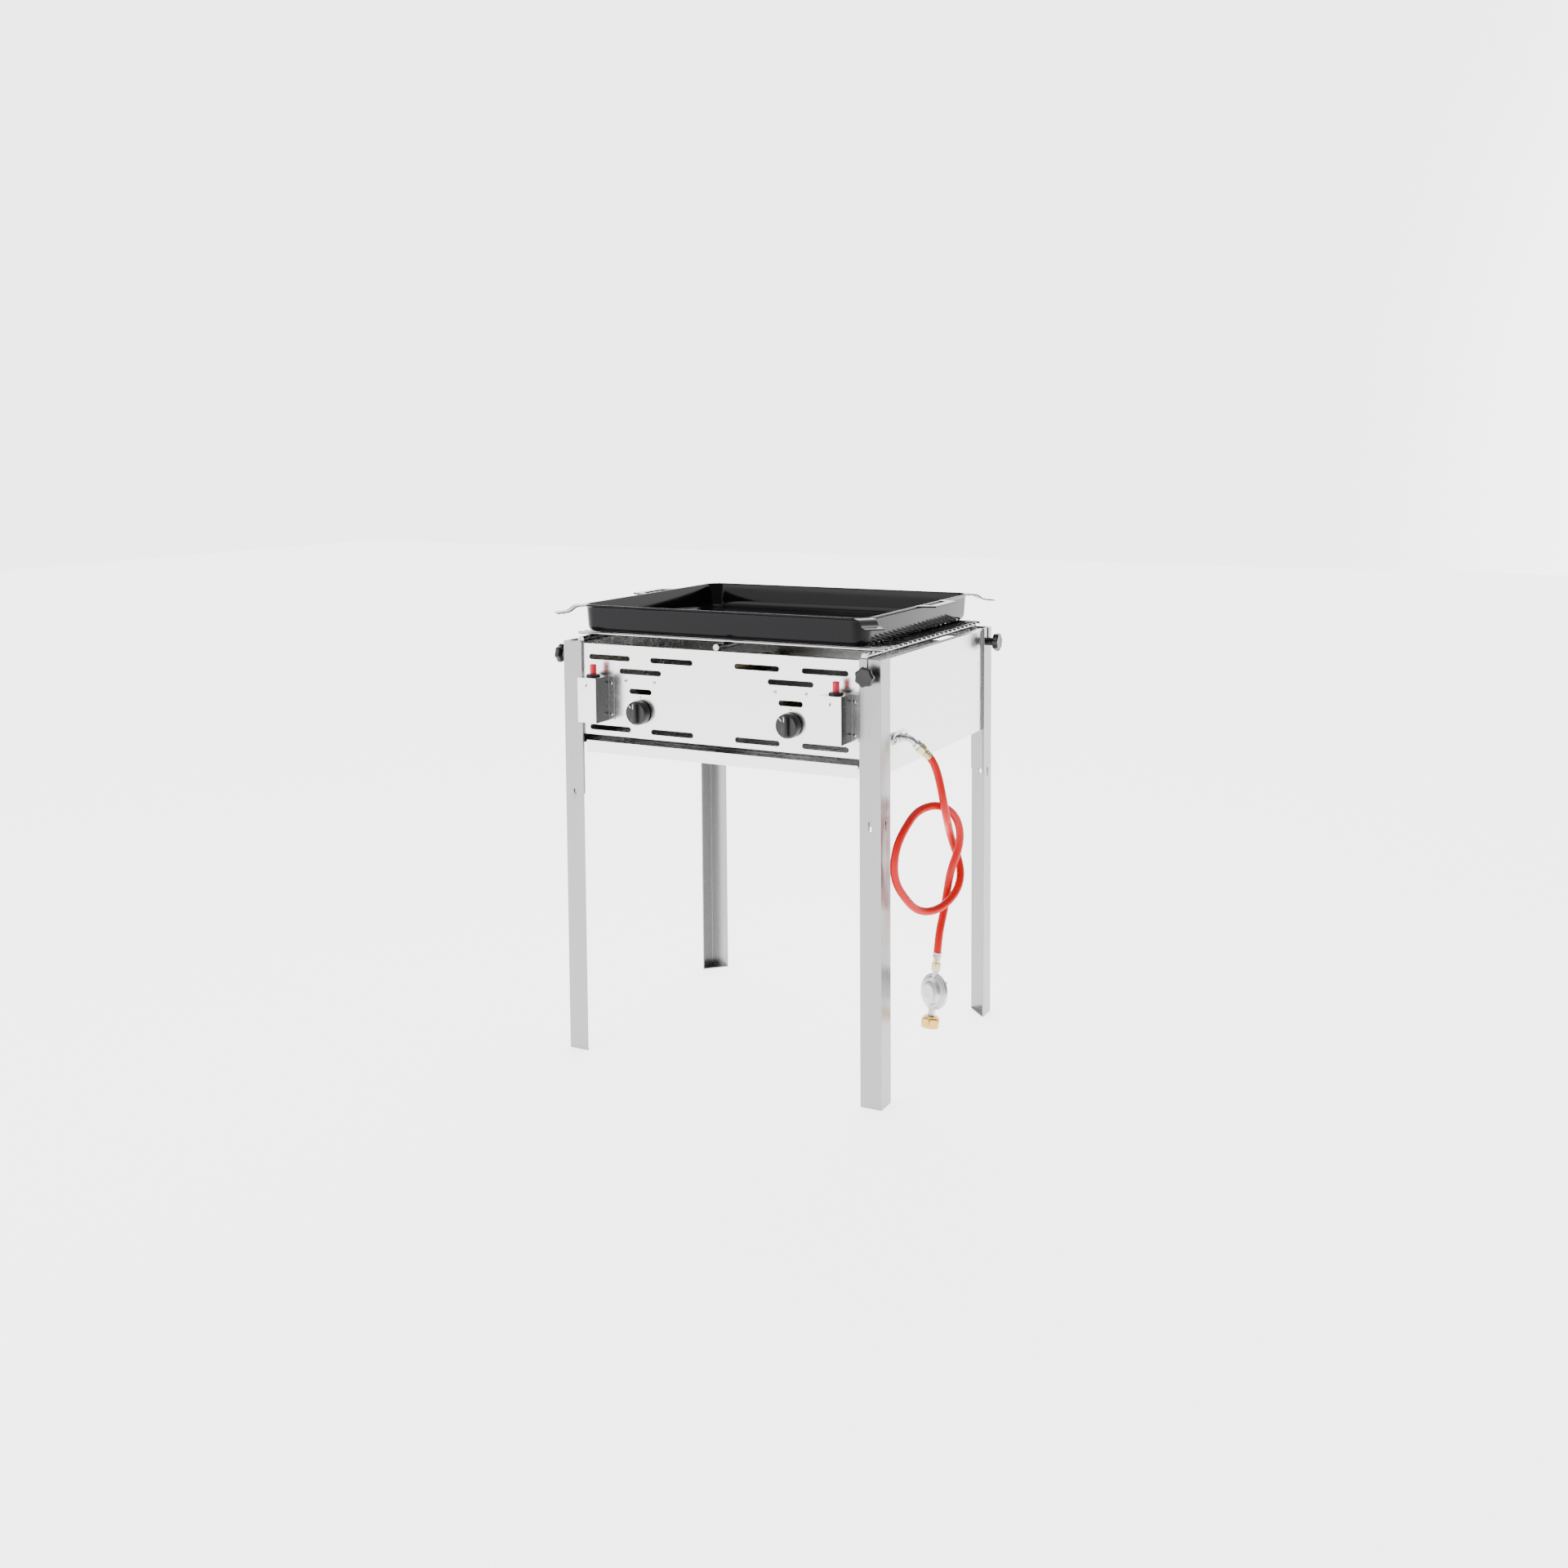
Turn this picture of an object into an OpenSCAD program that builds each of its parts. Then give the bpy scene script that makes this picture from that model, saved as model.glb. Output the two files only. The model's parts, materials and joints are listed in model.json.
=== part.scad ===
// Two-burner gas cooking stand: slotted body on four removable angle legs, wire grate, enamelled pan,
// drip tray, and a hanging hose with its pressure regulator. Millimetres, Z up, front towards -Y.
// The origin is on the floor, under the middle of the whole outline.

/* [Stand] */
// Outer width over the legs
body_w = 650; // [630:10:760]
// Outer depth over the legs
body_d = 540; // [530:10:600]
// Height of the legs
stand_h = 783; // [775:1:800]

/* [Legs] */
// Width of each leg flange
leg_flange = 40; // [38:1:44]
// Thickness of the leg sheet
leg_t = 2; // [1.5:0.5:3]
// Lower end of the corner posts
post_end_z = 495; // [450:5:540]

/* [Burners] */
// Distance between the two burners
burner_pitch = 310; // [300:5:320]
// Diameter of each burner tube
burner_dia = 44; // [36:2:50]

/* [Controls] */
// Diameter of the gas knobs
knob_dia = 45; // [38:1:50]
// How far a gas knob is pushed in before it turns
knob_push = 3; // [2:0.5:3]
// How far an igniter button travels
button_travel = 5; // [3:0.5:6]
// Diameter over the lobes of the star knobs
star_dia = 36; // [30:1:40]

/* [Grate and pan] */
// Number of cross wires
wires = 23; // [15:1:25]
// Diameter of the cross wires
wire_dia = 5; // [4:0.5:6]
// Diameter of the front-to-back rods
rod_dia = 12; // [8:1:14]
// Width of the pan over its walls
pan_w = 590; // [540:10:600]
// Depth of the pan over its walls
pan_d = 500; // [460:10:520]
// Height of the pan
pan_h = 52; // [40:1:70]

/* [Hose] */
// Outer diameter of the hose
hose_dia = 14; // [13:0.5:15]

/* [Hidden] */
$fn = 48;

// Fits and sheet
fit = 0.05;          // radial clearance of a running fit
gap = 0.3;           // clearance between sliding sheets
post_t = 2.5;        // corner post sheet
panel_t = 1.5;       // body panel sheet
fold = 12;           // folded edge of a panel

// Body planes
mid_y = 5;
half_w = body_w / 2;
front_y = mid_y - body_d / 2;
back_y = mid_y + body_d / 2;
inset = leg_t + gap + post_t;        // from a leg's face to a panel's face
panel_x = half_w - inset;
panel_front_y = front_y + inset;
panel_back_y = back_y - inset;
panel_top_z = 780;
front_panel_z = 609.5;
side_panel_z = 582;

// Leg hooks and clamp knobs
hook_w = 6;
hook_h = 17;
hook_above = 8.5;                    // how far the hook's window reaches above the post's end
stud_r = 4;
slot_r = 4.5;
clamp_z = 755.5;
clamp_in = leg_flange / 2 + 0.5;     // from the leg's corner to the stud
stem_r = 7.75;
stem_h = 14;
head_h = 11;
star_flute_r = 12;
star_flute_depth = 2.4;
lobes = 7;
stud_reach = 16;
nut_h = 6.5;
nut_af = 13;

// Front panel pattern, about each burner's own centre line
burner_mid_x = -4;
burner_x = [burner_mid_x - burner_pitch / 2, burner_mid_x + burner_pitch / 2];
slot_h = 10;
slot_len = 90;
slot_off = 67;
window_len = 48;
top_slot_z = 755.5;
second_slot_z = 732;
window_z = 696;
bottom_slot_z = 623.5;
screw_off = 30.5;
screw_z = 714.5;
knob_z = 658.6;
knob_hole_r = 8;

// Igniter boxes
box_x = [-247.5, 249.5];
box_w = 40;
box_d = 44;
box_z = 639;
box_top_z = 722;
box_t = 1.2;
box_flange = 12;
box_screw_x = 25.5;
box_screw_z = [651, 709];
igniter_r = 11;
collar_r = 13;
collar_h = 5;
button_r = 6;
button_top = 23;
button_bottom_z = 700;

// Burners and gas path
burner_z = 690;
burner_front_y = -200;
burner_back_y = 230;
mixer_r = 13;
injector_len = 20;
valve_back_y = -222;
valve_w = 26;
valve_bore_r = 8;
valve_bore_y = -232;
spindle_r = 4;
plunger_y = [-250, -243];
manifold_z = 637;
manifold_y = -174;
manifold_r = 7;
inlet_end_x = 300;

// Drip tray
tray_z = [575.5, 597.5];
tray_lip_x = 279.5;
tray_half_w = 268;
tray_flange_x = 282;
tray_floor_z = 577;
tray_rim_z = 594.5;
tray_back_y = 250;
tray_sheet = 1;

// Grate and pan
rod_x = 291;
rod_y = [-257, 264];
rod_z = panel_top_z + gap + rod_dia / 2;
pin_y = [-243, 253];
pin_r = 2.5;
wire_half = 315;
wire_y = [-229, 237];
wire_z = rod_z + rod_dia / 2 + wire_dia / 2 + fit;
pan_x = -10;
pan_y = 12;
pan_bottom_z = wire_z + wire_dia / 2 + gap;
pan_rim_z = pan_bottom_z + pan_h;
pan_corner_r = 30;
pan_fillet = 12;
pan_draft = 3;
pan_t = 2;
rim_out = 3;
rim_h = 3;
handle_root = 132;
handle_outer = 100;
handle_reach = 34;
handle_strip = 15;
handle_shift = 36;
tongue_w = 34;
tongue_t = 2.5;

// Inlet: a pipe that leaves the side panel and turns down and back
inlet_roll = 30;
inlet_turn = 55;
inlet_straight = 12;
inlet_bend_r = 15;
inlet_corner = inlet_straight + inlet_bend_r * tan(inlet_turn / 2);
pipe_r = 5.5;

// Regulator: it hangs a little out of plumb on the hose
reg_top = [378, -140, 250];
reg_turn = 72;
reg_tilt = 9;
disc_turn = 173;
disc_z = -68;
disc_r = 31.5;
neck_r = 6.35;
thread_r = 10.9;
cyl_nut_z = [-131, -110];

// Hose route, from the inlet's connector to the regulator's ferrule
hose_route = [
    [364, -157, 608], [374, -150, 594], [382, -144, 566], [392, -148, 524], [392, -130, 486],
    [380, -94, 466], [380, -74, 432], [394, -70, 396], [402, -88, 364], [392, -116, 338],
    [376, -152, 326], [358, -186, 334], [352, -216, 360], [340, -238, 392], [340, -248, 430],
    [344, -238, 468], [354, -212, 498], [354, -174, 510], [372, -138, 516], [390, -108, 502],
    [400, -88, 472], [400, -86, 432], [388, -100, 396], [378, -92, 358], [378, -106, 320],
    [378, -132, 288], [378, -140, 252], [377, -142, 242]
];
hose_sides = 10;
hose_steps = 2;

// ---------------------------------------------------------------- helpers

// A flat sheet that stands across the object, its near face at y
module sheet_across(y, t) {
    translate([0, y + t, 0]) rotate([90, 0, 0]) linear_extrude(t) children();
}

// A flat sheet that stands front to back, its left face at x
module sheet_along(x, t) {
    translate([x, 0, 0]) rotate([90, 0, 90]) linear_extrude(t) children();
}

module slot_2d(len, h) {
    square([len - h, h], center = true);
    for (s = [-1, 1]) translate([s * (len - h) / 2, 0]) circle(d = h);
}

// A block given by its two corners
module block(a, b) {
    translate(a) cube(b - a);
}

module hexagon(af, h) {
    cylinder(d = af / cos(30), h = h, $fn = 6);
}

// Each clamp knob's place, with local +Z pointing away from the body.
// The four follow each other round the body, so each face carries one.
module at_clamp(corner) {
    if (corner == "front_left") translate([-half_w, front_y + clamp_in, clamp_z]) rotate([0, -90, 0]) children();
    if (corner == "front_right") translate([half_w - clamp_in, front_y, clamp_z]) rotate([90, 0, 0]) children();
    if (corner == "back_left") translate([-half_w + clamp_in, back_y, clamp_z]) rotate([-90, 0, 0]) children();
    if (corner == "back_right") translate([half_w, back_y - clamp_in, clamp_z]) rotate([0, 90, 0]) children();
}

CORNERS = ["front_left", "front_right", "back_left", "back_right"];

module clamp_holes(r) {
    for (c = CORNERS) at_clamp(c) translate([0, 0, -20]) cylinder(r = r, h = 20.2);
}

// Puts a front-left corner piece at any corner
module at_corner(right, back) {
    translate([0, mid_y, 0]) mirror([right, 0, 0]) mirror([0, back, 0]) translate([0, -mid_y, 0]) children();
}

// ---------------------------------------------------------------- body

module front_pattern_2d() {
    for (x = burner_x) translate([x, 0]) {
        for (s = [-1, 1]) {
            translate([s * slot_off, top_slot_z]) slot_2d(slot_len, slot_h);
            translate([s * slot_off, bottom_slot_z]) slot_2d(slot_len, slot_h);
            translate([s * screw_off, screw_z]) circle(r = 2 + fit);
        }
        translate([0, second_slot_z]) slot_2d(slot_len, slot_h);
        translate([0, window_z]) slot_2d(window_len, slot_h);
        translate([0, knob_z]) circle(r = knob_hole_r);
    }
    for (x = box_x, z = box_screw_z) translate([x + box_screw_x, z]) circle(r = 2 + fit);
}

module front_panel() {
    inner_y = panel_front_y + panel_t;
    color("silver") difference() {
        union() {
            sheet_across(panel_front_y, panel_t) difference() {
                translate([-panel_x, front_panel_z]) square([2 * panel_x, panel_top_z - front_panel_z]);
                front_pattern_2d();
            }
            block([-panel_x + panel_t, inner_y, panel_top_z - panel_t],
                  [panel_x - panel_t, inner_y + fold, panel_top_z]);
            block([-panel_x + panel_t, inner_y, front_panel_z],
                  [panel_x - panel_t, inner_y + fold, front_panel_z + panel_t]);
        }
        clamp_holes(slot_r);
    }
}

module back_panel() {
    inner_y = panel_back_y - panel_t;
    color("silver") difference() {
        union() {
            sheet_across(inner_y, panel_t) difference() {
                translate([-panel_x, side_panel_z]) square([2 * panel_x, panel_top_z - side_panel_z]);
                for (x = burner_x, s = [-1, 1]) translate([x + s * slot_off, top_slot_z]) slot_2d(slot_len, slot_h);
            }
            block([-panel_x + panel_t, inner_y - fold, panel_top_z - panel_t],
                  [panel_x - panel_t, inner_y, panel_top_z]);
        }
        clamp_holes(slot_r);
    }
}

// One side panel, with its top edge folded inwards
module side_panel(side) {
    y1 = panel_front_y + panel_t;
    y2 = panel_back_y - panel_t;
    difference() {
        union() {
            sheet_along(side * panel_x - (side > 0 ? panel_t : 0), panel_t)
                translate([y1, side_panel_z]) square([y2 - y1, panel_top_z - side_panel_z]);
            translate([side * (panel_x - panel_t - fold / 2), (y1 + y2) / 2, panel_top_z - panel_t / 2])
                cube([fold, y2 - y1 - 2 * fold, panel_t], center = true);
        }
        clamp_holes(slot_r);
    }
}

module left_side_panel() {
    color("silver") side_panel(-1);
}

module right_side_panel() {
    color("silver") difference() {
        side_panel(1);
        translate([panel_x, manifold_y, manifold_z]) rotate([0, 90, 0]) {
            translate([0, 0, -5]) cylinder(r = pipe_r + fit, h = 10);
            for (s = [-1, 1]) translate([0, s * 25, -5]) cylinder(r = 2 + fit, h = 10);
        }
    }
}

// Angle section, modelled at the front left corner
module angle_2d(corner_off, flange, t) {
    x0 = -half_w + corner_off;
    y0 = front_y + corner_off;
    polygon([[x0, y0], [x0 + flange, y0], [x0 + flange, y0 + t], [x0 + t, y0 + t],
             [x0 + t, y0 + flange], [x0, y0 + flange]]);
}

module post(right, back) {
    color("gainsboro") difference() {
        at_corner(right, back) translate([0, 0, post_end_z]) linear_extrude(stand_h - post_end_z)
            angle_2d(leg_t + gap, leg_flange + 0.5 - leg_t - gap, post_t);
        clamp_holes(slot_r);
    }
}

module post_front_left() { post(0, 0); }
module post_front_right() { post(1, 0); }
module post_back_left() { post(0, 1); }
module post_back_right() { post(1, 1); }

// The windows of the two lanced hooks, and the ears that catch under the post
module hook_windows() {
    z = post_end_z + hook_above - hook_h;
    translate([-half_w + clamp_in - hook_w / 2, front_y - 1, z]) cube([hook_w, leg_t + 1.5, hook_h]);
    translate([-half_w - 1, front_y + clamp_in - hook_w / 2, z]) cube([leg_t + 1.5, hook_w, hook_h]);
}

module hook_ears() {
    z = post_end_z + hook_above - hook_h;
    ear_h = post_end_z - 0.1 - z;
    ear = leg_t + gap + post_t + 2;
    translate([-half_w + clamp_in + hook_w / 2, front_y, z]) cube([leg_t, ear, ear_h]);
    translate([-half_w, front_y + clamp_in + hook_w / 2, z]) cube([ear, leg_t, ear_h]);
}

module leg(corner, right, back) {
    color("gainsboro") difference() {
        at_corner(right, back) {
            difference() {
                linear_extrude(stand_h) angle_2d(0, leg_flange, leg_t);
                hook_windows();
            }
            hook_ears();
            linear_extrude(leg_t) polygon([[-half_w, front_y], [-half_w + leg_flange, front_y],
                [-half_w + leg_flange, front_y + leg_t + 2], [-half_w + leg_t + 2, front_y + leg_flange],
                [-half_w, front_y + leg_flange]]);
        }
        at_clamp(corner) translate([0, 0, -leg_t - 0.2]) {
            cylinder(r = slot_r, h = leg_t + 0.4);
            open_slot(corner);
        }
    }
}

// The leg's slot is open at the top, so the leg drops off the stud
module open_slot(corner) {
    h = stand_h - clamp_z + 1;
    side = corner == "front_left" ? [h, 0] : corner == "back_right" ? [-h, 0] : corner == "front_right" ? [0, h] : [0, -h];
    across = side[0] == 0;
    lo = across ? [-slot_r, min(0, side[1]), 0] : [min(0, side[0]), -slot_r, 0];
    translate(lo) cube(across ? [2 * slot_r, h, leg_t + 0.4] : [h, 2 * slot_r, leg_t + 0.4]);
}

module leg_front_left() { leg("front_left", 0, 0); }
module leg_front_right() { leg("front_right", 1, 0); }
module leg_back_left() { leg("back_left", 0, 1); }
module leg_back_right() { leg("back_right", 1, 1); }

// Star knob with its moulded-in stud
module star_knob(corner) {
    flute_at = star_dia / 2 + star_flute_r - star_flute_depth;
    color([0.1, 0.1, 0.1]) at_clamp(corner) {
        translate([0, 0, -stud_reach]) cylinder(r = stud_r, h = stud_reach + 1);
        translate([0, 0, gap]) cylinder(r = stem_r, h = stem_h);
        translate([0, 0, stem_h - 3]) cylinder(r1 = stem_r, r2 = star_dia / 2 - 4, h = 3.01);
        translate([0, 0, stem_h]) difference() {
            cylinder(r = star_dia / 2, h = head_h);
            for (i = [0:lobes - 1]) rotate(i * 360 / lobes) translate([flute_at, 0, -1])
                cylinder(r = star_flute_r, h = head_h + 2);
        }
    }
}

module star_knob_front_left() { star_knob("front_left"); }
module star_knob_front_right() { star_knob("front_right"); }
module star_knob_back_left() { star_knob("back_left"); }
module star_knob_back_right() { star_knob("back_right"); }

module clamp_nuts() {
    color("darkgray") for (c = CORNERS) at_clamp(c) translate([0, 0, -inset - panel_t - nut_h]) difference() {
        hexagon(nut_af, nut_h);
        translate([0, 0, -1]) cylinder(r = stud_r + fit, h = nut_h + 2);
    }
}

// ---------------------------------------------------------------- drip tray

module tray_runners() {
    y1 = panel_front_y + panel_t + 0.1;
    y2 = panel_back_y - panel_t - 0.1;
    wall = panel_x - panel_t;
    color("gray") for (s = [0, 1]) mirror([s, 0, 0]) {
        block([tray_half_w + 3, y1, tray_rim_z - gap - panel_t], [wall, y2, tray_rim_z - gap]);
        block([wall - panel_t, y1, tray_rim_z - gap], [wall, y2, front_panel_z - 0.4]);
    }
}

module drip_tray() {
    y1 = panel_front_y;
    color("lightgray") {
        block([-tray_lip_x, y1, tray_z[0]], [tray_lip_x, y1 + panel_t, tray_z[1]]);
        difference() {
            block([-tray_half_w, y1 + panel_t - 0.01, tray_floor_z], [tray_half_w, tray_back_y, tray_rim_z + tray_sheet]);
            block([-tray_half_w + tray_sheet, y1 + panel_t + tray_sheet, tray_floor_z + tray_sheet],
                  [tray_half_w - tray_sheet, tray_back_y - tray_sheet, tray_rim_z + 5]);
        }
        for (s = [0, 1]) mirror([s, 0, 0])
            block([tray_half_w - 0.5, y1 + panel_t - 0.01, tray_rim_z], [tray_flange_x, tray_back_y, tray_rim_z + tray_sheet]);
    }
}

// ---------------------------------------------------------------- burners and gas path

module y_tube(r, y1, y2) {
    translate([0, y2, 0]) rotate([90, 0, 0]) cylinder(r = r, h = y2 - y1);
}

module burner(x) {
    r = burner_dia / 2;
    color("goldenrod") translate([x, 0, burner_z]) difference() {
        union() {
            y_tube(r, burner_front_y, burner_back_y);
            block([-42, burner_front_y, -18], [42, burner_front_y + 1.5, 18]);
            translate([0, 0, knob_z - burner_z]) {
                y_tube(mixer_r, burner_front_y - 5, -120);
                block([-5, -140, 0], [5, -120, burner_z - knob_z]);
            }
        }
        y_tube(r - 1.5, burner_front_y + 2, burner_back_y - 2);
        translate([0, 0, knob_z - burner_z]) y_tube(mixer_r - 2, burner_front_y - 6, -125);
        for (s = [-1, 1], i = [0:18]) translate([s * r * 0.62, -170 + i * 21, r * 0.72]) cube([3, 8, 12], center = true);
        for (s = [-1, 1]) translate([s * 33, 0, 0]) y_tube(3 + fit, burner_front_y - 1, burner_front_y + 3);
    }
}

module burner_left() { burner(burner_x[0]); }
module burner_right() { burner(burner_x[1]); }

module burner_crossbars() {
    x = panel_x - panel_t - 0.1;
    z = burner_z - burner_dia / 2 - fit;
    color("gray") for (y = [-100, 190]) {
        block([-x, y, z - panel_t], [x, y + 25, z]);
        block([-x, y, z - 22], [x, y + panel_t, z - panel_t]);
    }
}

module gas_manifold() {
    color("darkgray") {
        translate([burner_x[0] - 20, manifold_y, manifold_z]) rotate([0, 90, 0])
            cylinder(r = manifold_r, h = inlet_end_x - burner_x[0] + 20);
        for (x = burner_x) translate([x, 0, manifold_z]) y_tube(5, valve_back_y, manifold_y);
    }
}

module valve_body(x) {
    w = valve_w / 2;
    color("darkkhaki") translate([x, 0, 0]) difference() {
        block([-w, panel_front_y + panel_t, manifold_z - 7], [w, valve_back_y, knob_z + 16]);
        translate([0, 0, knob_z]) y_tube(valve_bore_r, panel_front_y - 1, valve_bore_y);
    }
}

module valve_body_left() { valve_body(burner_x[0]); }
module valve_body_right() { valve_body(burner_x[1]); }

module valve_plunger(x) {
    color("goldenrod") translate([x, 0, knob_z]) difference() {
        y_tube(valve_bore_r - fit, plunger_y[0], plunger_y[1]);
        y_tube(spindle_r + fit, plunger_y[0] - 1, plunger_y[1] + 1);
    }
}

module valve_plunger_left() { valve_plunger(burner_x[0]); }
module valve_plunger_right() { valve_plunger(burner_x[1]); }

// A closed coil of round wire along +Z
module coil_spring(r, wire_r, h, turns) {
    n = 12;
    sides = 6;
    steps = n * turns;
    pts = [for (i = [0:steps], k = [0:sides - 1])
        let (a = i * 360 / n, b = k * 360 / sides, q = r + wire_r * cos(b))
        [q * cos(a), q * sin(a), wire_r + (h - 2 * wire_r) * i / steps + wire_r * sin(b)]];
    caps = [[for (k = [0:sides - 1]) k], [for (k = [sides - 1:-1:0]) steps * sides + k]];
    walls = [for (i = [0:steps - 1], k = [0:sides - 1])
        let (a = i * sides + k, b = i * sides + (k + 1) % sides) [a, a + sides, b + sides, b]];
    polyhedron(points = pts, faces = concat(caps, walls));
}

module valve_spring(x) {
    h = valve_bore_y - plunger_y[1] - 0.2;
    color("silver") translate([x, valve_bore_y - 0.1, knob_z]) rotate([90, 0, 0]) coil_spring(6, 0.6, h, 4);
}

module valve_spring_left() { valve_spring(burner_x[0]); }
module valve_spring_right() { valve_spring(burner_x[1]); }

module spindle(x) {
    color("silver") translate([x, 0, knob_z]) y_tube(spindle_r, -276, valve_bore_y - knob_push - 1);
}

module spindle_left() { spindle(burner_x[0]); }
module spindle_right() { spindle(burner_x[1]); }

// Round skirt, and a raised grip across it
module gas_knob(x) {
    r = knob_dia / 2;
    face = 15;
    grip = 8;
    color([0.08, 0.08, 0.08]) translate([x, panel_front_y - knob_push - 0.8, knob_z]) rotate([90, 0, 0]) difference() {
        union() {
            rotate_extrude() polygon([[0, 0], [r, 0], [r, 3], [r - 1, face - 1.5], [r - 2.5, face], [0, face]]);
            intersection() {
                cylinder(r = r - 2.5, h = face + grip);
                translate([-6, -r, face - 1]) cube([12, 2 * r, grip + 1]);
            }
        }
        translate([0, 0, -1]) cylinder(r = spindle_r + fit, h = 14);
    }
}

module gas_knob_left() { gas_knob(burner_x[0]); }
module gas_knob_right() { gas_knob(burner_x[1]); }

module injectors() {
    color("goldenrod") for (x = burner_x) translate([x, 0, knob_z]) {
        y_tube(5, valve_back_y, valve_back_y + injector_len);
        translate([0, valve_back_y + 6, 0]) rotate([90, 0, 0]) hexagon(13, 6);
    }
}

module electrodes() {
    color("white") for (x = burner_x) translate([x + 33, 0, burner_z]) {
        y_tube(3, -225, -185);
        y_tube(0.8, -185, -165);
    }
}

module thermocouples() {
    color("peru") for (x = burner_x) translate([x - 33, 0, burner_z]) {
        y_tube(3, -222, -190);
        y_tube(1.6, -190, -168);
    }
}

// ---------------------------------------------------------------- igniters

// Bent box, open below and behind, with a flange on its right
module igniter_box(x) {
    w = box_w / 2;
    y1 = panel_front_y - box_d;
    color("silver") translate([x, 0, 0]) difference() {
        union() {
            difference() {
                block([-w, y1, box_z], [w, panel_front_y, box_top_z]);
                block([-w + box_t, y1 + box_t, box_z - 1], [w - box_t, panel_front_y + 1, box_top_z - box_t]);
            }
            block([w - 0.1, panel_front_y - box_t, box_z], [w + box_flange, panel_front_y, box_top_z]);
        }
        translate([0, panel_front_y - box_d / 2, box_top_z - 5]) cylinder(r = igniter_r + fit, h = 10);
        for (z = box_screw_z) translate([box_screw_x, 0, z]) y_tube(2 + fit, panel_front_y - 3, panel_front_y + 1);
    }
}

module igniter_box_left() { igniter_box(box_x[0]); }
module igniter_box_right() { igniter_box(box_x[1]); }

module igniter_body(x) {
    bottom = button_bottom_z - button_travel - 5;
    color([0.12, 0.12, 0.12]) translate([x, panel_front_y - box_d / 2, 0]) difference() {
        union() {
            translate([0, 0, bottom]) cylinder(r = igniter_r, h = box_top_z - bottom + 0.5);
            translate([0, 0, box_top_z]) cylinder(r = collar_r, h = collar_h);
        }
        translate([0, 0, button_bottom_z - button_travel - 1]) cylinder(r = button_r + fit, h = 60);
    }
}

module igniter_body_left() { igniter_body(box_x[0]); }
module igniter_body_right() { igniter_body(box_x[1]); }

module igniter_button(x) {
    color("crimson") translate([x, panel_front_y - box_d / 2, button_bottom_z])
        cylinder(r = button_r, h = box_top_z + button_top - button_bottom_z);
}

module igniter_button_left() { igniter_button(box_x[0]); }
module igniter_button_right() { igniter_button(box_x[1]); }

// Pan-head screw along local +Z, its head's seat at zero
module screw(head_r) {
    cylinder(r = head_r, h = 1.8);
    translate([0, 0, -5]) cylinder(r = 2, h = 5.5);
}

module panel_screws() {
    color("silver") {
        for (x = burner_x, s = [-1, 1]) translate([x + s * screw_off, panel_front_y, screw_z])
            rotate([90, 0, 0]) screw(3.2);
        for (x = box_x, z = box_screw_z) translate([x + box_screw_x, panel_front_y - box_t, z])
            rotate([90, 0, 0]) screw(3);
        for (s = [-1, 1]) translate([panel_x + 3, manifold_y + s * 25, manifold_z])
            rotate([0, 90, 0]) screw(3.2);
    }
}

// ---------------------------------------------------------------- grate and pan

module grate_rods() {
    color("silver") for (x = [-rod_x, 0, rod_x]) translate([x, 0, 0]) {
        translate([0, 0, rod_z]) y_tube(rod_dia / 2, rod_y[0], rod_y[1]);
        for (y = pin_y) translate([0, y, panel_top_z - 12]) cylinder(r = pin_r, h = rod_z - panel_top_z + 12);
    }
}

module grate_wires() {
    pitch = (wire_y[1] - wire_y[0]) / (wires - 1);
    color("silver") for (i = [0:wires - 1])
        translate([-wire_half, wire_y[0] + i * pitch, wire_z]) rotate([0, 90, 0])
            cylinder(d = wire_dia, h = 2 * wire_half);
}

// A tray form with round corners and a round bottom edge, inset by t on all sides
module pan_form(t, h) {
    rc = pan_corner_r - t;
    rb = pan_fillet - t;
    hull() for (sx = [-1, 1], sy = [-1, 1])
        translate([pan_x + sx * (pan_w / 2 - pan_corner_r), pan_y + sy * (pan_d / 2 - pan_corner_r), pan_bottom_z + t]) {
            translate([0, 0, h]) cylinder(r = rc, h = 0.01, $fn = 32);
            translate([0, 0, rb]) rotate_extrude($fn = 32) translate([rc - rb - pan_draft, 0]) circle(r = rb, $fn = 32);
        }
}

module round_rect_2d(w, d, r) {
    square([w - 2 * r, d], center = true);
    square([w, d - 2 * r], center = true);
    for (sx = [-1, 1], sy = [-1, 1]) translate([sx * (w / 2 - r), sy * (d / 2 - r)]) circle(r = r);
}

module pan() {
    color([0.07, 0.07, 0.08]) difference() {
        union() {
            pan_form(0, pan_h);
            translate([pan_x, pan_y, pan_rim_z - rim_h]) linear_extrude(rim_h)
                round_rect_2d(pan_w + 2 * rim_out, pan_d + 2 * rim_out, pan_corner_r + rim_out);
        }
        pan_form(pan_t, pan_h);
    }
}

// Flat strip loop that leaves the pan's wall at x = 0
module strip_handle() {
    r = handle_root / 2;
    o = handle_outer / 2;
    k = handle_strip;
    color([0.09, 0.09, 0.1]) linear_extrude(rim_h) difference() {
        polygon([[-1.6, -r], [handle_reach, -o], [handle_reach, o], [-1.6, r]]);
        polygon([[-2, -r + k], [handle_reach - k, -o + k - 3], [handle_reach - k, o - k + 3], [-2, r - k]]);
    }
}

module pan_handle_right() {
    translate([pan_x + pan_w / 2, pan_y + handle_shift, pan_rim_z - rim_h]) strip_handle();
}

module pan_handle_left() {
    translate([pan_x - pan_w / 2, pan_y + handle_shift, pan_rim_z - rim_h]) mirror([1, 0, 0]) strip_handle();
}

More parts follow.
